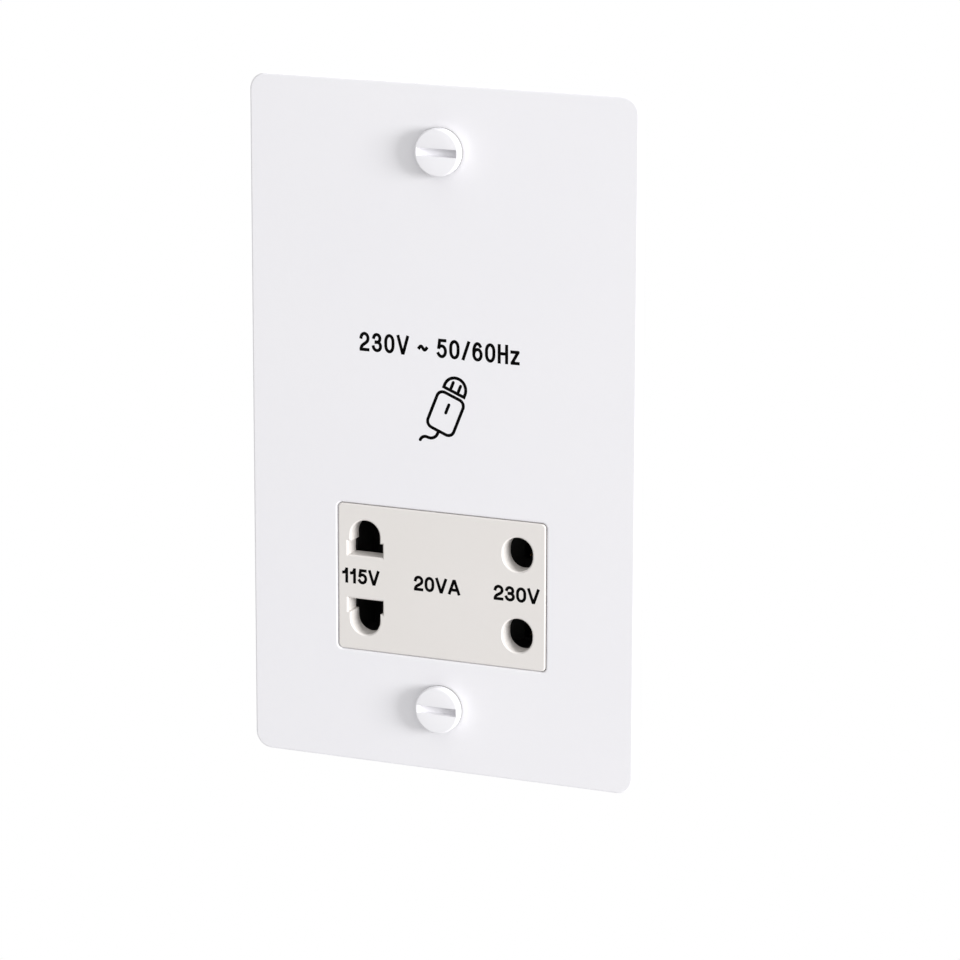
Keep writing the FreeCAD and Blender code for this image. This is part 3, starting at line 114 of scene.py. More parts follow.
class Graph:
    """A node tree with short ways to add and join nodes."""

    def __init__(self, tree: NodeTree) -> None:
        """Holds the tree that the nodes go into."""
        self.tree = tree

    def feed(self, socket: NodeSocket, value: object) -> None:
        """Links a socket to another one, or sets its constant.

        Args:
            socket: The input to feed.
            value: A constant, or the socket to link from.
        """
        if isinstance(value, NodeSocket):
            self.tree.links.new(value, socket)
        else:
            socket.default_value = value

    def add(self, kind: str, inputs: dict | None = None, **settings: object) -> Node:
        """Adds a node.

        Args:
            kind: The node's Blender type.
            inputs: Socket names or numbers, each with a constant or with a socket to link from.
            **settings: Attributes of the node.

        Returns:
            The new node.
        """
        node = self.tree.nodes.new(kind)
        for name, value in settings.items():
            setattr(node, name, value)
        for name, value in (inputs or {}).items():
            self.feed(node.inputs[name], value)
        return node

    def place(self) -> NodeSocket:
        """The shaded point in the piece's own axes."""
        return self.add("ShaderNodeTexCoord").outputs["Object"]

    def noise(self, place: NodeSocket, scale: object, detail: float) -> NodeSocket:
        """Adds a Noise node and returns its value."""
        inputs = {"Vector": place, "Scale": scale, "Detail": detail}
        return self.add("ShaderNodeTexNoise", inputs).outputs[0]

    def maths(self, operation: str, first: object, second: object = 0.0) -> NodeSocket:
        """Adds a Math node and returns its output."""
        return self.add("ShaderNodeMath", {0: first, 1: second}, operation=operation).outputs[0]

    def spread(self, value: object, low: float, high: float) -> NodeSocket:
        """Stretches the span from low to high over 0 to 1 and clips the rest."""
        limits = {"Value": value, "From Min": low, "From Max": high}
        return self.add("ShaderNodeMapRange", limits, clamp=True).outputs["Result"]

    def blend(self, share: object, first: object, second: object) -> NodeSocket:
        """Mixes two colours.

        Args:
            share: The share of the second colour, 0 to 1.
            first: The first colour.
            second: The second colour.

        Returns:
            The mixed colour.
        """
        node = self.add("ShaderNodeMix", data_type="RGBA")
        values = {"Factor_Float": share, "A_Color": first, "B_Color": second}
        for socket in node.inputs:
            if socket.identifier in values:
                self.feed(socket, values[socket.identifier])
        return next(socket for socket in node.outputs if socket.identifier == "Result_Color")


class Effects:
    """The shader node groups that several finishes share, each built once."""

    FLOAT = "NodeSocketFloat"
    COLOUR = "NodeSocketColor"
    VECTOR = "NodeSocketVector"
    TONE_SPAN = (0.3, 0.7)
    SEAM_SPAN = (0.38, 0.5)
    PATCH_SHARE = 0.06
    PATCH_DETAIL = 2.0
    SKIN_DETAIL = 3.0
    GRAIN_DETAIL = 4.0
    LAYER_POWER = 3.0
    BEVEL_SAMPLES = 6

    def __init__(self) -> None:
        """Builds every group."""
        self.tone = self._build("drifting_tone", self._draw_tone, [
            ("Colour", self.COLOUR),
            ("Shade", self.COLOUR),
            ("Scale", self.FLOAT),
            ("Amount", self.FLOAT),
        ], [("Colour", self.COLOUR)])
        self.skin = self._build("surface_skin", self._draw_skin, [
            ("Scale", self.FLOAT), ("Roughness", self.FLOAT), ("Spread", self.FLOAT),
        ], [("Height", self.FLOAT), ("Roughness", self.FLOAT)])
        self.drawn = self._build("drawn_grain", self._draw_grain, [
            ("Stretch", self.VECTOR), ("Roughness", self.FLOAT), ("Spread", self.FLOAT),
        ], [("Height", self.FLOAT), ("Roughness", self.FLOAT)])
        self.layers = self._build("stacked_layers", self._draw_layers, [
            ("Across", self.VECTOR),
        ], [("Height", self.FLOAT), ("Seam", self.FLOAT)])
        self.edges = self._build("softened_edges", self._draw_edges, [
            ("Radius", self.FLOAT),
        ], [("Normal", self.VECTOR)])

    def _build(
        self,
        name: str,
        draw: Callable[[Graph, NodeOutputs], Sockets],
        inputs: Sequence[tuple[str, str]],
        outputs: Sequence[tuple[str, str]],
    ) -> NodeTree:
        """Makes a group with its sockets and lets a method draw the inside.

        Args:
            name: The group's name.
            draw: The method that adds the nodes and returns the outputs by name.
            inputs: Name and type of each input.
            outputs: Name and type of each output.

        Returns:
            The finished group.
        """
        tree = bpy.data.node_groups.new(name, "ShaderNodeTree")
        for way, sockets in (("INPUT", inputs), ("OUTPUT", outputs)):
            for label, kind in sockets:
                tree.interface.new_socket(label, in_out=way, socket_type=kind)
        graph = Graph(tree)
        results = draw(graph, graph.add("NodeGroupInput").outputs)
        graph.add("NodeGroupOutput", results)
        return tree

    def _draw_tone(self, graph: Graph, given: NodeOutputs) -> Sockets:
        """Slow drift between two near colours, as in a coat or a moulding of uneven thickness.

        Args:
            graph: The group's graph.
            given: The group's inputs.

        Returns:
            The group's outputs by name.
        """
        cloud = graph.noise(graph.place(), given["Scale"], self.PATCH_DETAIL)
        share = graph.maths("MULTIPLY", graph.spread(cloud, *self.TONE_SPAN), given["Amount"])
        return {"Colour": graph.blend(share, given["Colour"], given["Shade"])}

    def _draw_skin(self, graph: Graph, given: NodeOutputs) -> Sockets:
        """A fine pebbled skin whose gloss varies in wider patches.

        Args:
            graph: The group's graph.
            given: The group's inputs.

        Returns:
            The group's outputs by name.
        """
        place = graph.place()
        pebble = graph.noise(place, given["Scale"], self.SKIN_DETAIL)
        wide = graph.maths("MULTIPLY", given["Scale"], self.PATCH_SHARE)
        patch = graph.noise(place, wide, self.PATCH_DETAIL)
        return {"Height": pebble, "Roughness": self._uneven(graph, given, patch)}

    def _draw_grain(self, graph: Graph, given: NodeOutputs) -> Sockets:
        """Fine lines drawn out one way, as on rolled or turned metal.

        Args:
            graph: The group's graph.
            given: The group's inputs.

        Returns:
            The group's outputs by name.
        """
        factors = {0: graph.place(), 1: given["Stretch"]}
        pulled = graph.add("ShaderNodeVectorMath", factors, operation="MULTIPLY")
        line = graph.noise(pulled.outputs[0], 1.0, self.GRAIN_DETAIL)
        return {"Height": line, "Roughness": self._uneven(graph, given, line)}

    def _draw_layers(self, graph: Graph, given: NodeOutputs) -> Sockets:
        """Rounded layers along the Across vector, whose length is the number of layers in a metre.

        Args:
            graph: The group's graph.
            given: The group's inputs.

        Returns:
            The group's outputs by name.
        """
        factors = {0: graph.place(), 1: given["Across"]}
        along = graph.add("ShaderNodeVectorMath", factors, operation="DOT_PRODUCT").outputs["Value"]
        part = graph.maths("FRACT", along)
        off_middle = graph.maths("ABSOLUTE", graph.maths("SUBTRACT", part, 0.5))
        fall = graph.maths("POWER", graph.maths("MULTIPLY", off_middle, 2.0), self.LAYER_POWER)
        seam = graph.spread(off_middle, *self.SEAM_SPAN)
        return {"Height": graph.maths("SUBTRACT", 1.0, fall), "Seam": seam}

    def _draw_edges(self, graph: Graph, given: NodeOutputs) -> Sockets:
        """The small radius that every moulded or tumbled edge has."""
        bevel = graph.add("ShaderNodeBevel", {"Radius": given["Radius"]}, samples=self.BEVEL_SAMPLES)
        return {"Normal": bevel.outputs["Normal"]}

    def _uneven(self, graph: Graph, given: NodeOutputs, noise: NodeSocket) -> NodeSocket:
        """The group's roughness, swinging about its mean with a noise."""
        swing = graph.maths("MULTIPLY", graph.maths("SUBTRACT", noise, 0.5), given["Spread"])
        return graph.maths("ADD", given["Roughness"], swing)


@dataclass(frozen=True)
class Surface:
    """A material in the making: its graph, its shader and the shared node groups."""

    graph: Graph
    shader: Node
    effects: Effects

    def feed(self, name: str, value: object) -> None:
        """Links or sets one of the shader's inputs."""
        self.graph.feed(self.shader.inputs[name], value)

    def group(self, tree: NodeTree, inputs: dict) -> NodeOutputs:
        """Places a shared group with its own values and returns its outputs."""
        return self.graph.add("ShaderNodeGroup", inputs, node_tree=tree).outputs


@dataclass(frozen=True)
class Finish:
    """A surface: its slot in the record, two near colours, gloss and the radius of its edges."""

    slot: str
    colour: Colour
    shade: Colour
    roughness: float
    edge: float = 0.12 * MM
    tone_scale: float = 60.0
    tone_amount: float = 0.6

    def build(self, effects: Effects) -> Material:
        """Makes the material.

        Args:
            effects: The shared node groups.

        Returns:
            A material named after the slot.
        """
        material = bpy.data.materials.new(self.slot)
        material.use_nodes = True
        material.node_tree.nodes.clear()
        graph = Graph(material.node_tree)
        shader = graph.add("ShaderNodeBsdfPrincipled")
        graph.add("ShaderNodeOutputMaterial", {"Surface": shader.outputs[0]})
        self.dress(Surface(graph, shader, effects))
        return material

    def dress(self, surface: Surface) -> None:
        """Feeds the shader; each kind of finish has its own way."""
        raise NotImplementedError

    def paint(self, surface: Surface) -> NodeSocket:
        """Feeds the drifting colour to the shader.

        Args:
            surface: The surface to paint.

        Returns:
            The colour.
        """
        values = {
            "Colour": self.colour,
            "Shade": self.shade,
            "Scale": self.tone_scale,
            "Amount": self.tone_amount,
        }
        colour = surface.group(surface.effects.tone, values)["Colour"]
        surface.feed("Base Color", colour)
        return colour

    def relief(self, surface: Surface, height: NodeSocket, depth: float) -> None:
        """Feeds relief over softened edges to the shader.

        Args:
            surface: The surface to raise.
            height: Relief from 0 to 1.
            depth: The relief's height in metres.
        """
        normal = surface.group(surface.effects.edges, {"Radius": self.edge})["Normal"]
        inputs = {"Strength": 1.0, "Distance": depth, "Height": height, "Normal": normal}
        surface.feed("Normal", surface.graph.add("ShaderNodeBump", inputs).outputs["Normal"])


@dataclass(frozen=True)
class SkinFinish(Finish):
    """A coat, a moulding or a wire's sleeve: a plain colour under a fine skin."""

    skin_scale: float = 2600.0
    skin_depth: float = 0.004 * MM
    spread: float = 0.12
    gloss: float = 0.5

    def dress(self, surface: Surface) -> None:
        """Feeds colour, gloss and skin.

        Args:
            surface: The surface to dress.
        """
        self.paint(surface)
        values = {"Scale": self.skin_scale, "Roughness": self.roughness, "Spread": self.spread}
        skin = surface.group(surface.effects.skin, values)
        self.relief(surface, skin["Height"], self.skin_depth)
        surface.feed("Roughness", skin["Roughness"])
        surface.feed("Specular IOR Level", self.gloss)


@dataclass(frozen=True)
class MetalFinish(Finish):
    """Bare or plated metal with fine drawn lines."""

    stretch: tuple[float, float, float] = (4000.0, 4000.0, 150.0)
    grain_depth: float = 0.002 * MM
    spread: float = 0.2

    def dress(self, surface: Surface) -> None:
        """Feeds colour, gloss and drawn lines.

        Args:
            surface: The surface to dress.
        """
        self.paint(surface)
        values = {"Stretch": self.stretch, "Roughness": self.roughness, "Spread": self.spread}
        grain = surface.group(surface.effects.drawn, values)
        self.relief(surface, grain["Height"], self.grain_depth)
        surface.feed("Roughness", grain["Roughness"])
        surface.feed("Metallic", 1.0)


@dataclass(frozen=True)
class LayerFinish(Finish):
    """Laminations, turns of wire or laps of tape: rounded layers with a dark seam between them."""

    across: tuple[float, float, float] = (0.0, 2000.0, 0.0)
    layer_depth: float = 0.05 * MM
    seam_colour: Colour = (0.01, 0.01, 0.01, 1.0)
    metallic: float = 0.0
    coat: float = 0.0

    def dress(self, surface: Surface) -> None:
        """Feeds colour with seams, gloss and layers.

        Args:
            surface: The surface to dress.
        """
        colour = self.paint(surface)
        layers = surface.group(surface.effects.layers, {"Across": self.across})
        surface.feed("Base Color", surface.graph.blend(layers["Seam"], colour, self.seam_colour))
        self.relief(surface, layers["Height"], self.layer_depth)
        surface.feed("Roughness", self.roughness)
        surface.feed("Metallic", self.metallic)
        surface.feed("Coat Weight", self.coat)


FINISHES: tuple[Finish, ...] = (
    SkinFinish(
        "plate_coat", srgb(240, 239, 242), srgb(237, 236, 240), 0.44,
        tone_scale=18.0, skin_scale=1500.0,
    ),
    SkinFinish(
        "screw_coat", srgb(241, 240, 243), srgb(238, 237, 241), 0.42,
        tone_scale=80.0, skin_scale=1500.0,
    ),
    SkinFinish("insert_plastic", srgb(229, 225, 222), srgb(226, 222, 218), 0.36, tone_scale=30.0),
    MetalFinish("plated_steel", srgb(202, 200, 192), srgb(186, 186, 184), 0.3),
    SkinFinish("shutter_plastic", srgb(18, 17, 16), srgb(24, 23, 22), 0.55),
    SkinFinish("carrier_plastic", srgb(16, 15, 15), srgb(22, 21, 20), 0.6),
    MetalFinish("contact_bronze", srgb(198, 152, 96), srgb(176, 128, 78), 0.32),
    LayerFinish(
        "core_steel", srgb(98, 99, 104), srgb(78, 80, 86), 0.42,
        metallic=0.7, seam_colour=srgb(20, 20, 21),
    ),
    SkinFinish("former_plastic", srgb(221, 212, 190), srgb(212, 201, 176), 0.5),
    LayerFinish(
        "winding_copper", srgb(176, 88, 44), srgb(150, 70, 36), 0.3, across=(0.0, 0.0, 3200.0),
        layer_depth=0.12 * MM, seam_colour=srgb(70, 28, 14), metallic=0.8, coat=0.6,
    ),
    LayerFinish(
        "winding_tape", srgb(214, 172, 62), srgb(200, 154, 48), 0.28, across=(0.0, 0.0, 160.0),
        layer_depth=0.03 * MM, seam_colour=srgb(150, 108, 30), coat=0.3,
    ),
    SkinFinish("cutout_case", srgb(62, 52, 44), srgb(50, 42, 36), 0.45),
    SkinFinish(
        "housing_plastic", srgb(34, 34, 36), srgb(42, 42, 44), 0.5,
        skin_scale=1900.0, skin_depth=0.012 * MM,
    ),
    SkinFinish("block_plastic", srgb(224, 220, 211), srgb(216, 211, 200), 0.4),
    MetalFinish(
        "terminal_brass", srgb(214, 180, 106), srgb(190, 150, 80), 0.28,
        stretch=(3800.0, 200.0, 3800.0),
    ),
    SkinFinish("lead_brown", srgb(104, 60, 38), srgb(92, 52, 34), 0.4),
    SkinFinish("lead_blue", srgb(40, 92, 168), srgb(34, 80, 150), 0.4),
    SkinFinish("lead_black", srgb(28, 28, 29), srgb(36, 36, 37), 0.42),
    LayerFinish(
        "lead_green", srgb(74, 146, 50), srgb(66, 132, 44), 0.4, across=(600.0, 0.0, 0.0),
        layer_depth=0.002 * MM, seam_colour=srgb(230, 204, 40),
    ),
)
INK = SkinFinish(
    "print_ink", srgb(3, 3, 3), srgb(6, 6, 6), 0.6, edge=0.01 * MM, tone_scale=900.0, gloss=0.02,
)
# Grey washer finish: painted shade, standing in for the shadowed gap under each screw head.
SHADE_WASHER = SkinFinish("washer_nylon", srgb(150, 149, 150), srgb(142, 141, 142), 0.5)


def add_object(name: str, mesh: Mesh, material: Material) -> Object:
    """Links a mesh into the scene as an object of one material.

    Args:
        name: The piece's name.
        mesh: Its mesh, in frame metres.
        material: Its finish.

    Returns:
        The new object.
    """
    piece = bpy.data.objects.new(name, mesh)
    mesh.materials.clear()
    mesh.materials.append(material)
    bpy.context.scene.collection.objects.link(piece)
    return piece


def finish_mesh(name: str, shape: BMesh, smooth_degrees: float | None = None) -> Mesh:
    """Closes a bmesh into a mesh with outward normals.

    Args:
        name: The mesh's name.
        shape: The bmesh, which is freed.
        smooth_degrees: Edges flatter than this shade smooth; None leaves the faces flat.

    Returns:
        The mesh.
    """
    bmesh.ops.recalc_face_normals(shape, faces=shape.faces)
    if smooth_degrees is not None:
        limit = math.radians(smooth_degrees)
        for face in shape.faces:
            face.smooth = True
        for edge in shape.edges:
            edge.smooth = edge.calc_face_angle(0.0) < limit
    mesh = bpy.data.meshes.new(name)
    shape.to_mesh(mesh)
    shape.free()
    return mesh


def arc(centre: Point, radii: Point, start: float, end: float, steps: int = 16) -> list[Point]:
    """Points along an upright ellipse or a circle.

    Args:
        centre: Its centre.
        radii: Its radius across and upwards.
        start: The first angle in degrees.
        end: The last angle in degrees.
        steps: The number of runs.

    Returns:
        The points, both ends included.
    """
    angles = [math.radians(start + (end - start) * step / steps) for step in range(steps + 1)]
    return [(centre[0] + radii[0] * math.cos(a), centre[1] + radii[1] * math.sin(a)) for a in angles]


def sweep(first: Point, second: Point, third: Point, last: Point, steps: int = 12) -> list[Point]:
    """Points along a Bezier curve.

    Args:
        first: The curve's start.
        second: The handle of its start.
        third: The handle of its end.
        last: The curve's end.
        steps: The number of runs.

    Returns:
        The points, both ends included.
    """
    points = []
    for step in range(steps + 1):
        t = step / steps
        shares = ((1 - t) ** 3, 3 * t * (1 - t) ** 2, 3 * t**2 * (1 - t), t**3)
        corners = (first, second, third, last)
        points.append(tuple(sum(s * c[axis] for s, c in zip(shares, corners)) for axis in (0, 1)))
    return points


@dataclass(frozen=True)
class Stroke:
    """A line of a drawing, in millimetres on its own plane."""

    points: Sequence[Point]
    width: float
    closed: bool = False
    ends: Ends = Ends.ROUND
    cap_steps: int = 8
    mitre_floor: float = 0.4

    def fill(self, shape: BMesh) -> None:
        """Adds the stroke's flat faces.

        Args:
            shape: The bmesh that takes the faces, in metres on the plane z = 0.
        """
        line = [Vector(point) for point in self.points]
        half = self.width / 2
        if not self.closed and self.ends is Ends.SQUARE:
            line[0] = line[0] + (line[0] - line[1]).normalized() * half
            line[-1] = line[-1] + (line[-1] - line[-2]).normalized() * half
        rims = []
        for index, here in enumerate(line):
            ways = self._ways(line, index)
            mean = sum(ways, Vector((0.0, 0.0))).normalized()
            side = Vector((-mean.y, mean.x)) * (half / max(self.mitre_floor, mean.dot(ways[0])))
            rims.append([self._vertex(shape, place) for place in (here + side, here - side)])
        following = rims[1:] + rims[:1] if self.closed else rims[1:]
        for (left, right), (next_left, next_right) in zip(rims, following):
            shape.faces.new((left, right, next_right, next_left))
        if not self.closed and self.ends is Ends.ROUND:
            self._cap(shape, line[0], line[1], rims[0][::-1])
            self._cap(shape, line[-1], line[-2], rims[-1])

    def _ways(self, line: Sequence[Vector], index: int) -> list[Vector]:
        """Finds the directions of the runs that meet at a point.

        Args:
            line: The stroke's points.
            index: The point's number.

        Returns:
            One direction at an open end, and two elsewhere.
        """
        ways = []
        if self.closed or index > 0:
            ways.append((line[index] - line[index - 1]).normalized())
        if self.closed or index < len(line) - 1:
            ways.append((line[(index + 1) % len(line)] - line[index]).normalized())
        return ways

    def _vertex(self, shape: BMesh, place: Vector) -> BMVert:
        """A vertex of the drawing's plane, in metres."""
        return shape.verts.new((place.x * MM, place.y * MM, 0.0))

    def _cap(self, shape: BMesh, end: Vector, inward: Vector, rim: Sequence[BMVert]) -> None:
        """Adds a round end.

        Args:
            shape: The bmesh that takes the face.
            end: The stroke's end.
            inward: The point before it.
            rim: The two vertices at the end.
        """
        away = (end - inward).normalized()
        start = math.atan2(away.y, away.x) + math.pi / 2
        angles = [start - math.pi * step / self.cap_steps for step in range(1, self.cap_steps)]
        rays = [Vector((math.cos(angle), math.sin(angle))) for angle in angles]
        bow = [self._vertex(shape, end + ray * (self.width / 2)) for ray in rays]
        shape.faces.new((rim[0], *bow, rim[1]))


Glyph = tuple[float, tuple[tuple[Sequence[Point], bool], ...]]

# Plain signs in a unit square: the width for a height of one, then each line and whether it is closed
GLYPHS: dict[str, Glyph] = {
    "0": (0.6, (
        ((*arc((0.5, 0.62), (0.5, 0.38), 0, 180), *arc((0.5, 0.38), (0.5, 0.38), 180, 360)), True),
    )),
    "1": (0.36, (
        (sweep((0.0, 0.72), (0.4, 0.73), (0.6, 0.82), (0.72, 0.97)), False),
        (((0.8, 0.0), (0.8, 1.0)), False),
    )),
    "2": (0.6, (
        ((*arc((0.5, 0.71), (0.48, 0.29), 172, -20),
          *sweep((0.94, 0.6), (0.82, 0.38), (0.08, 0.34), (0.03, 0.06))[1:]), False),
        (((0.03, 0.0), (0.97, 0.0)), False),
    )),
    "3": (0.6, (
        ((*arc((0.48, 0.755), (0.43, 0.245), 168, -90), (0.38, 0.51)), False),
        (((0.38, 0.53), *arc((0.5, 0.265), (0.5, 0.265), 90, -168)), False),
    )),
    "5": (0.6, (
        (((0.92, 1.0), (0.2, 1.0), (0.09, 0.56)), False),
        (arc((0.48, 0.33), (0.52, 0.33), 130, -150, 20), False),
    )),
    "6": (0.6, (
        (arc((0.5, 0.32), (0.5, 0.32), 0, 360, 28), True),
        ((*arc((0.5, 0.52), (0.5, 0.48), 45, 180), (0.0, 0.36)), False),
    )),
    "A": (0.8, (
        (((0.0, 0.0), (0.45, 1.0), (0.55, 1.0), (1.0, 0.0)), False),
        (((0.2, 0.27), (0.8, 0.27)), False),
    )),
    "H": (0.6, (
        (((0.0, 0.0), (0.0, 1.0)), False),
        (((1.0, 0.0), (1.0, 1.0)), False),
        (((0.0, 0.52), (1.0, 0.52)), False),
    )),
    "V": (0.76, (
        (((0.0, 1.0), (0.45, 0.0), (0.55, 0.0), (1.0, 1.0)), False),
    )),
    "z": (0.5, (
        (((0.0, 0.68), (0.94, 0.68)), False),
        (((0.94, 0.66), (0.06, 0.02)), False),
        (((0.06, 0.0), (1.0, 0.0)), False),
    )),
    "~": (0.6, (
        (tuple((step / 16, 0.42 + 0.11 * math.sin(step / 8 * math.pi)) for step in range(17)), False),
    )),
    "/": (0.42, (
        (((0.0, 0.0), (1.0, 1.0)), False),
    )),
    " ": (0.1, ()),
}

# Lines of the signs over the supply terminals, in millimetres about each sign's middle
TERMINAL_SIGNS: dict[str, tuple[tuple[Point, ...], ...]] = {
    "live_terminal": (((-0.6, 1.1), (-0.6, -1.1), (0.7, -1.1)),),
    "earth_terminal": (
        ((0.0, 1.1), (0.0, 0.1)),
        ((-1.1, 0.0), (1.1, 0.0)),
        ((-0.7, -0.62), (0.7, -0.62)),
        ((-0.3, -1.24), (0.3, -1.24)),
    ),
    "neutral_terminal": (((-0.75, -1.1), (-0.75, 1.1), (0.75, -1.1), (0.75, 1.1)),),
}


@dataclass(frozen=True)
class Lettering:
    """Numbers and plain letters drawn in strokes of one width, in millimetres."""

    height: float
    stroke: float
    gap: float
    same_point: float = 1e-4

    def word(self, text: str, width: float) -> list[Stroke]:
        """Draws a word about its own middle.

        Args:
            text: The word.
            width: Its width from edge to edge.

        Returns:
            The word's strokes.
        """
        high = self.height - self.stroke
        sizes = [GLYPHS[sign][0] * high for sign in text]
        spare = width - self.stroke - (len(text) - 1) * (self.stroke + self.gap)
        stretch = spare / sum(sizes)
        strokes = []
        left = (self.stroke - width) / 2
        for sign, size in zip(text, sizes):
            wide = size * stretch
            for points, closed in GLYPHS[sign][1]:
                placed = [(left + x * wide, (y - 0.5) * high) for x, y in points]
                strokes.append(Stroke(self._clean(placed), self.stroke, closed, Ends.SQUARE))
            left += wide + self.stroke + self.gap
        return strokes

    def _clean(self, points: Sequence[Point]) -> list[Point]:
        """Drops points that repeat the one before or the first.

        Args:
            points: A line's points.

        Returns:
            The points that are left.
        """
        kept = [points[0]]
        for point in points[1:]:
            if min(math.dist(point, kept[-1]), math.dist(point, points[0])) > self.same_point:
                kept.append(point)
        return kept


@dataclass
class FlatMark:
    """A thin solid on a flat face: print, or raised moulded signs."""

    name: str
    facing: Facing
    origin: Vector
    rise: float = 0.02 * MM
    sunk: float = 0.01 * MM
    lap: float = 0.0004 * MM

    def from_strokes(self, strokes: Sequence[Stroke]) -> Mesh:
        """Raises strokes into one thin solid, each a hair lower than the one before.

        Args:
            strokes: The drawing's lines, about the mark's origin.

        Returns:
            The mesh in the frame.
        """
        shape = bmesh.new()
        for number, stroke in enumerate(strokes):
            before = set(shape.faces)
            stroke.fill(shape)
            faces = [face for face in shape.faces if face not in before]
            raised = bmesh.ops.extrude_face_region(shape, geom=faces)["geom"]
            tops = [item for item in raised if isinstance(item, BMVert)]
            height = self.rise + self.sunk - number * self.lap
            bmesh.ops.translate(shape, verts=tops, vec=(0.0, 0.0, height))
        return self._place(shape)

    def _place(self, shape: BMesh) -> Mesh:
        """Moves a drawing onto its face and closes it.

        Args:
            shape: The raised drawing, which is freed.

        Returns:
            The mesh in the frame.
        """
        sink = Matrix.Translation((0.0, 0.0, -self.sunk))
        onto = Matrix.Translation(self.origin) @ self.facing.matrix() @ sink
        bmesh.ops.transform(shape, matrix=onto, verts=shape.verts)
        return finish_mesh(self.name, shape)


@dataclass
class SocketPart:
    """A sub-assembly of the dressed socket: it has the finishes and reports each piece."""

    materials: dict[str, Material]

    def keep(self, piece: Object, slot: str | None = None) -> None:
        """Puts a piece on the fixed body and logs it.

        Args:
            piece: The new piece.
            slot: Not used.
        """
        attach(piece, FIXED_BODY)
        LOG.info("%s rides on %s: %d faces", piece.name, FIXED_BODY, len(piece.data.polygons))


@dataclass
class FixingScrews(SocketPart):
    """The two coin-slot screws, with rounded heads, a rolled thread and a washer under each head, whose
    grey is painted shade.
    """

    edge_radius: float = 0.42 * MM
    washer_thickness: float = 0.6 * MM
    washer_inset: float = 0.03 * MM
    washer_play: float = 0.1 * MM
    slot_width: float = 1.7 * MM
    slot_depth: float = 1.6 * MM
    slot_inset: float = 0.6 * MM
    slot_ramp: float = 0.2 * MM
    slot_edge: float = 0.05 * MM
    neck_radius: float = 1.5 * MM
    neck_length: float = 3.4 * MM
    thread_radius: float = 1.75 * MM
    thread_pitch: float = 0.6 * MM
    thread_depth: float = 0.33 * MM
    root_share: float = 0.12
    flank_share: float = 0.68
    point_length: float = 0.6 * MM
    around: int = 96
    edge_steps: int = 8
    thread_around: int = 36
    steps_per_pitch: int = 8
    bevel_segments: int = 2
    bevel_degrees: float = 40.0
    smooth_degrees: float = 32.0
    head_radius: float = field(init=False)
    front: float = field(init=False)
    tip: float = field(init=False)
    plate_front: float = field(init=False)
    heights: tuple[float, float] = field(init=False)

    def __post_init__(self) -> None:
        """Takes the screws' places from the frame."""
        low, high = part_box("fixing_screws")
        self.head_radius = high.x
        self.front = low.y
        self.tip = high.y
        self.plate_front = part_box("faceplate")[0].y
        centre = high.z - self.head_radius
        self.heights = (centre, -centre)

    def build(self) -> None:
        """Makes coated heads, plated shanks and washers in place of the plain screws; the washers' grey
        is painted shade under the heads.
        """
        heads, shanks = bmesh.new(), bmesh.new()
        for z in self.heights:
            head = self._head()
            head.transform(Matrix.Translation((0.0, 0.0, z)))
            heads.from_mesh(head)
            bpy.data.meshes.remove(head)
            self._thread(shanks, z)
        pieces = (
            ("fixing_screw_heads", heads, "screw_coat"),
            ("fixing_screw_shanks", shanks, "plated_steel"),
        )
        for name, shape, slot in pieces:
            piece = add_object(name, finish_mesh(name, shape, self.smooth_degrees), self.materials[slot])
            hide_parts("fixing_screws")
            self.keep(piece, slot)
        # The washers' grey is painted shade for the gap under each head.
        washers = finish_mesh("fixing_screw_shade_washers", self._washers(), self.smooth_degrees)
        self.keep(add_object("fixing_screw_shade_washers", washers, self.materials["washer_nylon"]))

    def _head(self) -> Mesh:
        """Turns a head with its neck and cuts its coin slot.

        Returns:
            The head's mesh, about the Y axis.
        """
        radius, edge = self.head_radius, self.edge_radius
        rim = arc((self.front + edge, radius - edge), (edge, edge), 180.0, 90.0, self.edge_steps)
        base = self.plate_front - self.washer_thickness
        thread_y = self.plate_front + self.neck_length
        profile = [(self.front, 0.0), *rim, (base, radius), (base, self.neck_radius)]
        profile += [(thread_y, self.neck_radius), (thread_y, 0.0)]
        return self._cut(self._lathe("head_blank", profile), self._slot_cutter())

    def _cut(self, solid: Mesh, space: Mesh) -> Mesh:
        """Takes a space out of a solid and softens the edges.

        Args:
            solid: The solid's mesh, which is removed.
            space: The space's mesh, which is removed.

        Returns:
            The mesh of what is left.
        """
        blank, tool = [bpy.data.objects.new(mesh.name, mesh) for mesh in (solid, space)]
        for piece in (blank, tool):
            bpy.context.scene.collection.objects.link(piece)
        cut = blank.modifiers.new("slot", "BOOLEAN")
        cut.operation = "DIFFERENCE"
        cut.object = tool
        cut.solver = "EXACT"
        soften = blank.modifiers.new("edges", "BEVEL")
        soften.width = self.slot_edge
        soften.segments = self.bevel_segments
        soften.limit_method = "ANGLE"
        soften.angle_limit = math.radians(self.bevel_degrees)
        depsgraph = bpy.context.evaluated_depsgraph_get()
        left = bpy.data.meshes.new_from_object(blank.evaluated_get(depsgraph), depsgraph=depsgraph)
        for piece in (blank, tool):
            bpy.data.objects.remove(piece)
        for mesh in (solid, space):
            bpy.data.meshes.remove(mesh)
        return left

    def _slot_cutter(self) -> Mesh:
        """Draws the coin slot's space: a flat floor with a steep end on each side.

        Returns:
            The space's mesh, open above the head's face.
        """
        end = self.head_radius - self.slot_inset
        floor = end - self.slot_ramp
        slope = self.slot_depth / self.slot_ramp
        above = self.slot_depth / 2
        reach = end + above / slope
        levels = ((-reach, -above), (reach, -above), (floor, self.slot_depth), (-floor, self.slot_depth))
        shape = bmesh.new()
        sides = []
        for z in (-self.slot_width / 2, self.slot_width / 2):
            sides.append([shape.verts.new((x, self.front + depth, z)) for x, depth in levels])
            shape.faces.new(sides[-1])
        self._skin(shape, *sides)
        return finish_mesh("slot_cutter", shape)

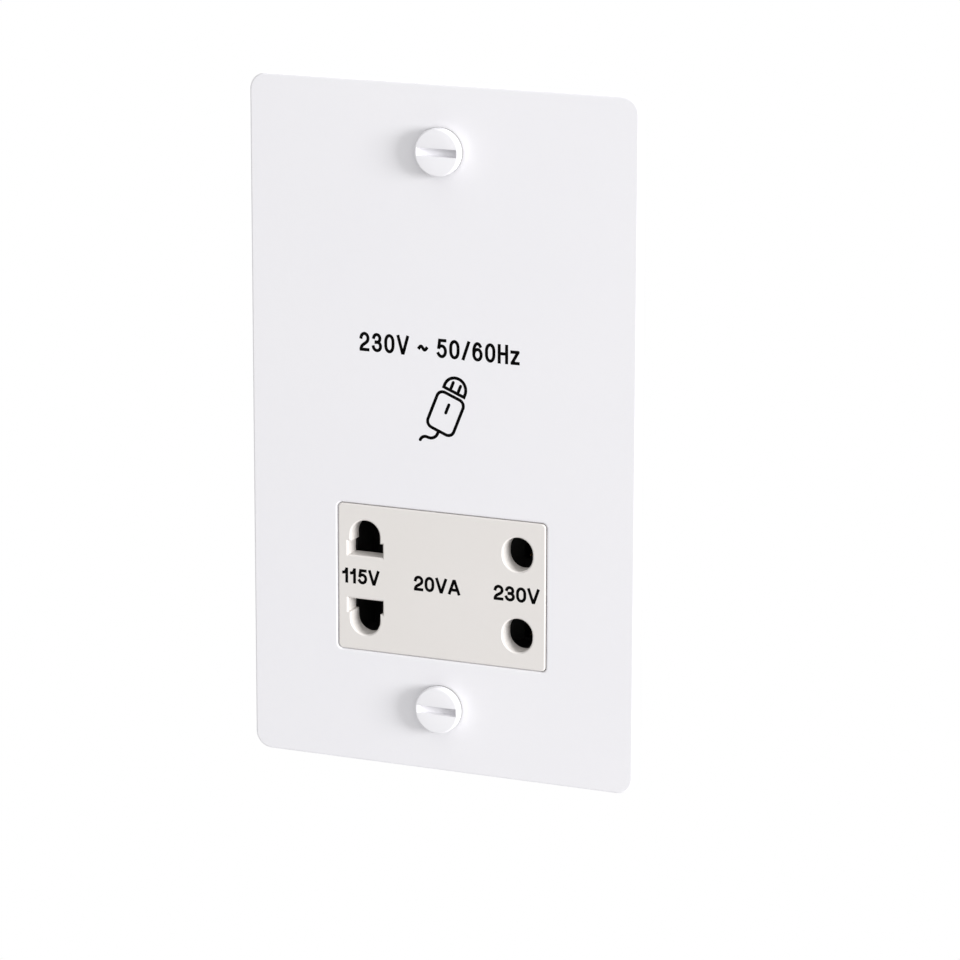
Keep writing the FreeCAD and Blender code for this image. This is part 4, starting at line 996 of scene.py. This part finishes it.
    def _lathe(self, name: str, profile: Sequence[Point]) -> Mesh:
        """Turns a profile about the Y axis.

        Args:
            name: The mesh's name.
            profile: Pairs of y and radius; a radius of zero is a point on the axis.

        Returns:
            The turned mesh.
        """
        shape = bmesh.new()
        rings = [self._ring(shape, y, radius, self.around if radius else 1) for y, radius in profile]
        for ring, following in zip(rings, rings[1:]):
            self._skin(shape, ring, following)
        return finish_mesh(name, shape)

    def _ring(self, shape: BMesh, y: float, radius: float, count: int, z: float = 0.0) -> list[BMVert]:
        """Vertices on a circle about the Y axis, or about a line along it at a height."""
        angles = [2 * math.pi * step / count for step in range(count)]
        return [shape.verts.new((radius * math.cos(a), y, z + radius * math.sin(a))) for a in angles]

    def _washers(self) -> BMesh:
        """Lays a thin washer between each head and the plate; its grey is painted shade for the shadowed
        gap under the head.

        Returns:
            Both washers.
        """
        top, seat = self.plate_front - self.washer_thickness, self.plate_front
        inner, outer = self.neck_radius + self.washer_play, self.head_radius - self.washer_inset
        shape = bmesh.new()
        for z in self.heights:
            corners = ((top, inner), (top, outer), (seat, outer), (seat, inner))
            rings = [self._ring(shape, y, radius, self.around, z) for y, radius in corners]
            for ring, following in zip(rings, rings[1:] + rings[:1]):
                self._skin(shape, ring, following)
        return shape

    def _skin(self, shape: BMesh, ring: Sequence[BMVert], following: Sequence[BMVert]) -> None:
        """Joins two rings with faces.

        Args:
            shape: The bmesh that takes the faces.
            ring: One ring, or a single vertex.
            following: The other ring, or a single vertex.
        """
        count = max(len(ring), len(following))
        for step in range(count):
            turn = (step + 1) % count
            corners = [ring[step % len(ring)], ring[turn % len(ring)]]
            corners += [following[turn % len(following)], following[step % len(following)]]
            shape.faces.new(list(dict.fromkeys(corners)))

    def _thread(self, shape: BMesh, z: float) -> None:
        """Adds a threaded shank, whose thread runs out at the neck and at the point.

        Args:
            shape: The bmesh that takes the shank.
            z: The height of its axis.
        """
        start = self.plate_front + self.neck_length
        length = self.tip - start
        steps = round(length / self.thread_pitch * self.steps_per_pitch)
        rings = [[shape.verts.new((0.0, start, z))]]
        for step in range(steps + 1):
            along = length * step / steps
            ring = []
            for side in range(self.thread_around):
                turn = side / self.thread_around
                radius = self._thread_radius(along, length, turn)
                angle = 2 * math.pi * turn
                place = (radius * math.cos(angle), start + along, z + radius * math.sin(angle))
                ring.append(shape.verts.new(place))
            rings.append(ring)
        rings.append([shape.verts.new((0.0, self.tip, z))])
        for ring, following in zip(rings, rings[1:]):
            self._skin(shape, ring, following)

    def _thread_radius(self, along: float, length: float, turn: float) -> float:
        """Finds the shank's radius at a place.

        Args:
            along: The distance from the neck.
            length: The shank's length.
            turn: The share of a turn.

        Returns:
            The radius in metres.
        """
        phase = (along / self.thread_pitch - turn) % 1.0
        climb = (abs(phase - 0.5) * 2 - self.root_share) / self.flank_share
        flank = min(1.0, max(0.0, climb))
        run_in = min(1.0, along / self.thread_pitch)
        radius = self.thread_radius - self.thread_depth * (1.0 - flank * run_in)
        cone = self.thread_radius - self.point_length + length - along
        return min(radius, cone)


@dataclass
class InsertPrint(SocketPart):
    """The plain numbers on the insert: two voltages and the power."""

    lettering: Lettering = Lettering(height=3.35, stroke=0.65, gap=0.27)
    raised: float = 0.2 * MM
    words: tuple[tuple[str, str, float, float], ...] = (
        ("volts_left", "115V", -23.2, -14.4),
        ("power_middle", "20VA", -6.3, 4.5),
        ("volts_right", "230V", 12.25, 22.8),
    )

    def build(self) -> None:
        """Prints each number between its left and right ends."""
        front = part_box("front_moulding")[0].y
        contacts = [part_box(f"contact_230_{name}") for name in ("upper", "lower")]
        heights = [corner.z for pair in contacts for corner in pair]
        middle_z = sum(heights) / len(heights) + self.raised
        for name, text, left, right in self.words:
            origin = Vector(((left + right) / 2 * MM, front, middle_z))
            mark = FlatMark(f"insert_print_{name}", Facing.ROOM, origin)
            mesh = mark.from_strokes(self.lettering.word(text, right - left))
            self.keep(add_object(mark.name, mesh, self.materials["print_ink"]))


@dataclass
class PlatePrint(SocketPart):
    """The plate's rating in plain numbers, and a line drawing of an electric shaver under it."""

    legend: str = "230V ~ 50/60Hz"
    lettering: Lettering = Lettering(height=4.15, stroke=0.69, gap=0.52)
    legend_left: float = -18.9
    legend_right: float = 18.0
    legend_z: float = 18.4 * MM
    drawing_x: float = 1.05 * MM
    drawing_z: float = 4.45 * MM
    line_width: float = 0.68
    tilt: float = -22.0
    body_half_width: float = 3.2
    body_half_height: float = 4.2
    body_corner: float = 1.4
    head_half_width: float = 2.5
    head_gap: float = 1.0
    head_side: float = 0.6
    comb_x: float = 0.9
    comb_gap: float = 0.55
    switch_low: float = 0.2
    switch_length: float = 1.9
    cord_drop: float = 0.6
    cord_bend: float = 1.8
    cord_end: float = 1.3
    corner_steps: int = 8
    cord_steps: int = 10
    dome_steps: int = 20

    def build(self) -> None:
        """Prints the rating and the drawing."""
        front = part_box("faceplate")[0].y
        middle = (self.legend_left + self.legend_right) / 2 * MM
        rating = self.lettering.word(self.legend, self.legend_right - self.legend_left)
        prints = (
            ("plate_print_rating", Vector((middle, front, self.legend_z)), rating),
            ("plate_print_shaver", Vector((self.drawing_x, front, self.drawing_z)), self._shaver()),
        )
        for name, origin, strokes in prints:
            mesh = FlatMark(name, Facing.ROOM, origin).from_strokes(strokes)
            self.keep(add_object(name, mesh, self.materials["print_ink"]))

    def _shaver(self) -> list[Stroke]:
        """Draws a tilted shaver: body, cutting head, comb lines, switch and a curl of cord.

        Returns:
            The drawing's strokes.
        """
        wide, high, corner = self.body_half_width, self.body_half_height, self.body_corner
        body: list[Point] = []
        for side, way, start in ((1, 1, 0.0), (-1, 1, 90.0), (-1, -1, 180.0), (1, -1, 270.0)):
            centre = (side * (wide - corner), way * (high - corner))
            body += arc(centre, (corner, corner), start, start + 90.0, self.corner_steps)
        base, dome = high + self.head_gap, self.head_half_width
        crown = base + self.head_side
        top = arc((0.0, crown), (dome, dome), 0.0, 180.0, self.dome_steps)
        head = [(dome, base), *top, (-dome, base)]
        comb = [[(x, base + self.comb_gap), (x, crown + dome / 2)] for x in (-self.comb_x, self.comb_x)]
        switch = [(0.0, self.switch_low), (0.0, self.switch_low + self.switch_length)]
        bend, end = self.cord_bend, self.cord_end
        low = -high - self.cord_drop
        cord = [(0.0, -high), *arc((-bend, low), (bend, bend), 0.0, -90.0, self.cord_steps)]
        cord += arc((-bend, low - bend - end), (end, end), 90.0, 180.0, self.corner_steps)[1:]
        lines = [Stroke(self._tilted(points), self.line_width, closed=True) for points in (body, head)]
        lines += [Stroke(self._tilted(points), self.line_width) for points in (*comb, switch, cord)]
        return lines

    def _tilted(self, points: Sequence[Point]) -> list[Point]:
        """Leans points of the drawing about its middle.

        Args:
            points: A line's points.

        Returns:
            The leaning points.
        """
        turn = math.radians(self.tilt)
        cosine, sine = math.cos(turn), math.sin(turn)
        return [(x * cosine - y * sine, x * sine + y * cosine) for x, y in points]


@dataclass
class TerminalMarks(SocketPart):
    """Raised line, earth and neutral signs over the supply terminals."""

    width: float = 0.42
    rise: float = 0.25 * MM
    sunk: float = 0.05 * MM
    margin: float = 2.0 * MM

    def build(self) -> None:
        """Puts each sign on the block's back face, over its terminal."""
        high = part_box("terminal_block")[1]
        for terminal, lines in TERMINAL_SIGNS.items():
            low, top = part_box(terminal)
            origin = Vector(((low.x + top.x) / 2, high.y, high.z - self.margin))
            mark = FlatMark(f"{terminal}_sign", Facing.WALL, origin, self.rise, self.sunk)
            mesh = mark.from_strokes([Stroke(points, self.width) for points in lines])
            self.keep(add_object(mark.name, mesh, self.materials["block_plastic"]), "block_plastic")


@dataclass
class DressedFrame(SocketPart):
    """The CAD pieces, each with the finish of its slot."""

    def build(self, nodes: dict[str, Object], record: dict) -> None:
        """Gives every CAD piece its material.

        Args:
            nodes: The frame's objects by name.
            record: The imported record.
        """
        for part in record["subparts"]:
            piece = nodes[part["node"]]
            material = self.materials[part["material_slot"]]
            if not piece.material_slots:
                piece.data.materials.append(material)
            for place in piece.material_slots:
                place.material = material
            LOG.info("%s: %s", part["node"], material.name)


@dataclass(frozen=True)
class Lamp:
    """A soft square lamp, placed by its direction from the plate's middle."""

    name: str
    azimuth: float
    elevation: float
    distance: float
    size: float
    power: float

    def build(self) -> None:
        """Hangs the lamp and points it at the origin."""
        data = bpy.data.lights.new(self.name, "AREA")
        data.shape = "SQUARE"
        data.size = self.size
        data.energy = self.power
        lamp = bpy.data.objects.new(self.name, data)
        turn, tilt = math.radians(self.azimuth), math.radians(self.elevation)
        way = Vector((math.sin(turn) * math.cos(tilt), -math.cos(turn) * math.cos(tilt), math.sin(tilt)))
        lamp.location = way * self.distance
        lamp.rotation_euler = way.to_track_quat("Z", "Y").to_euler()
        bpy.context.scene.collection.objects.link(lamp)
        LOG.info("%s lit", self.name)


@dataclass(frozen=True)
class Studio:
    """A white studio: pale floor, even light all round and a key lamp from the right."""

    ambient: float = 0.375
    backdrop: float = 1.0
    floor_drop: float = 0.3
    floor_radius: float = 0.42
    floor_segments: int = 96
    floor_colour: Colour = srgb(244, 244, 245)
    floor_roughness: float = 0.9
    lamps: tuple[Lamp, ...] = (
        Lamp("key_lamp", azimuth=72.2, elevation=8.0, distance=4.4, size=1.4, power=202.0),
        Lamp("fill_lamp", azimuth=40.0, elevation=10.0, distance=1.2, size=0.8, power=1.9),
        Lamp("top_lamp", azimuth=8.0, elevation=58.0, distance=0.6, size=0.8, power=1.4),
        Lamp("back_lamp", azimuth=205.0, elevation=38.0, distance=1.1, size=0.6, power=7.0),
    )

    def build(self) -> None:
        """Builds the floor, the world and the lamps."""
        bpy.context.scene.view_settings.view_transform = "Standard"
        self._floor()
        self._world()
        for lamp in self.lamps:
            lamp.build()

    def _floor(self) -> None:
        """A pale disc below the part."""
        shape = bmesh.new()
        bmesh.ops.create_circle(
            shape, cap_ends=True, segments=self.floor_segments, radius=self.floor_radius
        )
        bmesh.ops.translate(shape, verts=shape.verts, vec=(0.0, 0.0, -self.floor_drop))
        material = bpy.data.materials.new("floor_paint")
        material.use_nodes = True
        shader = material.node_tree.nodes["Principled BSDF"]
        shader.inputs["Base Color"].default_value = self.floor_colour
        shader.inputs["Roughness"].default_value = self.floor_roughness
        add_object("floor", finish_mesh("floor", shape), material)

    def _world(self) -> None:
        """Even light, and plain white where the camera, a gloss or a clear piece looks past the part."""
        world = bpy.data.worlds.new("studio")
        bpy.context.scene.world = world
        world.use_nodes = True
        world.node_tree.nodes.clear()
        graph = Graph(world.node_tree)
        path = graph.add("ShaderNodeLightPath").outputs
        seen = graph.maths("MAXIMUM", path["Is Camera Ray"], path["Is Glossy Ray"])
        seen = graph.maths("MAXIMUM", seen, path["Is Transmission Ray"])
        soft = graph.add("ShaderNodeBackground", {"Strength": self.ambient, "Color": WHITE})
        plain = graph.add("ShaderNodeBackground", {"Strength": self.backdrop, "Color": WHITE})
        either = graph.add("ShaderNodeMixShader", {0: seen, 1: soft.outputs[0], 2: plain.outputs[0]})
        graph.add("ShaderNodeOutputWorld", {"Surface": either.outputs[0]})


@dataclass(frozen=True)
class Viewpoint:
    """The photograph's camera: turned about the part's origin, then moved along its own right and up."""

    lens: float = 167.135
    sensor: float = 36.0
    azimuth: float = 23.589
    elevation: float = 13.535
    roll: float = 0.124
    distance: float = 943.723 * MM
    right: float = 7.051 * MM
    up: float = -10.399 * MM

    def build(self) -> None:
        """Places the camera and makes it the scene's."""
        turn, tilt, roll = (math.radians(a) for a in (self.azimuth, self.elevation, self.roll))
        back = Vector((math.sin(turn) * math.cos(tilt), -math.cos(turn) * math.cos(tilt), math.sin(tilt)))
        level = Vector((math.cos(turn), math.sin(turn), 0.0))
        upright = back.cross(level)
        right = level * math.cos(roll) + upright * math.sin(roll)
        up = upright * math.cos(roll) - level * math.sin(roll)
        data = bpy.data.cameras.new("photo_camera")
        data.lens = self.lens
        data.sensor_width = self.sensor
        data.sensor_fit = "HORIZONTAL"
        camera = bpy.data.objects.new("photo_camera", data)
        pose = Matrix((right, up, back)).transposed().to_4x4()
        pose.translation = back * self.distance + right * self.right + up * self.up
        camera.matrix_world = pose
        bpy.context.scene.collection.objects.link(camera)
        bpy.context.scene.camera = camera


def main() -> None:
    """Loads the frame, dresses it, adds the small pieces and sets the stage."""
    logging.basicConfig(level=logging.INFO, format="%(message)s")
    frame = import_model()
    Viewpoint().build()
    Studio().build()
    effects = Effects()
    materials = {finish.slot: finish.build(effects) for finish in (*FINISHES, INK, SHADE_WASHER)}
    DressedFrame(materials).build(frame["nodes"], frame["record"])
    FixingScrews(materials).build()
    InsertPrint(materials).build()
    PlatePrint(materials).build()
    TerminalMarks(materials).build()


if __name__ == "__main__":
    main()
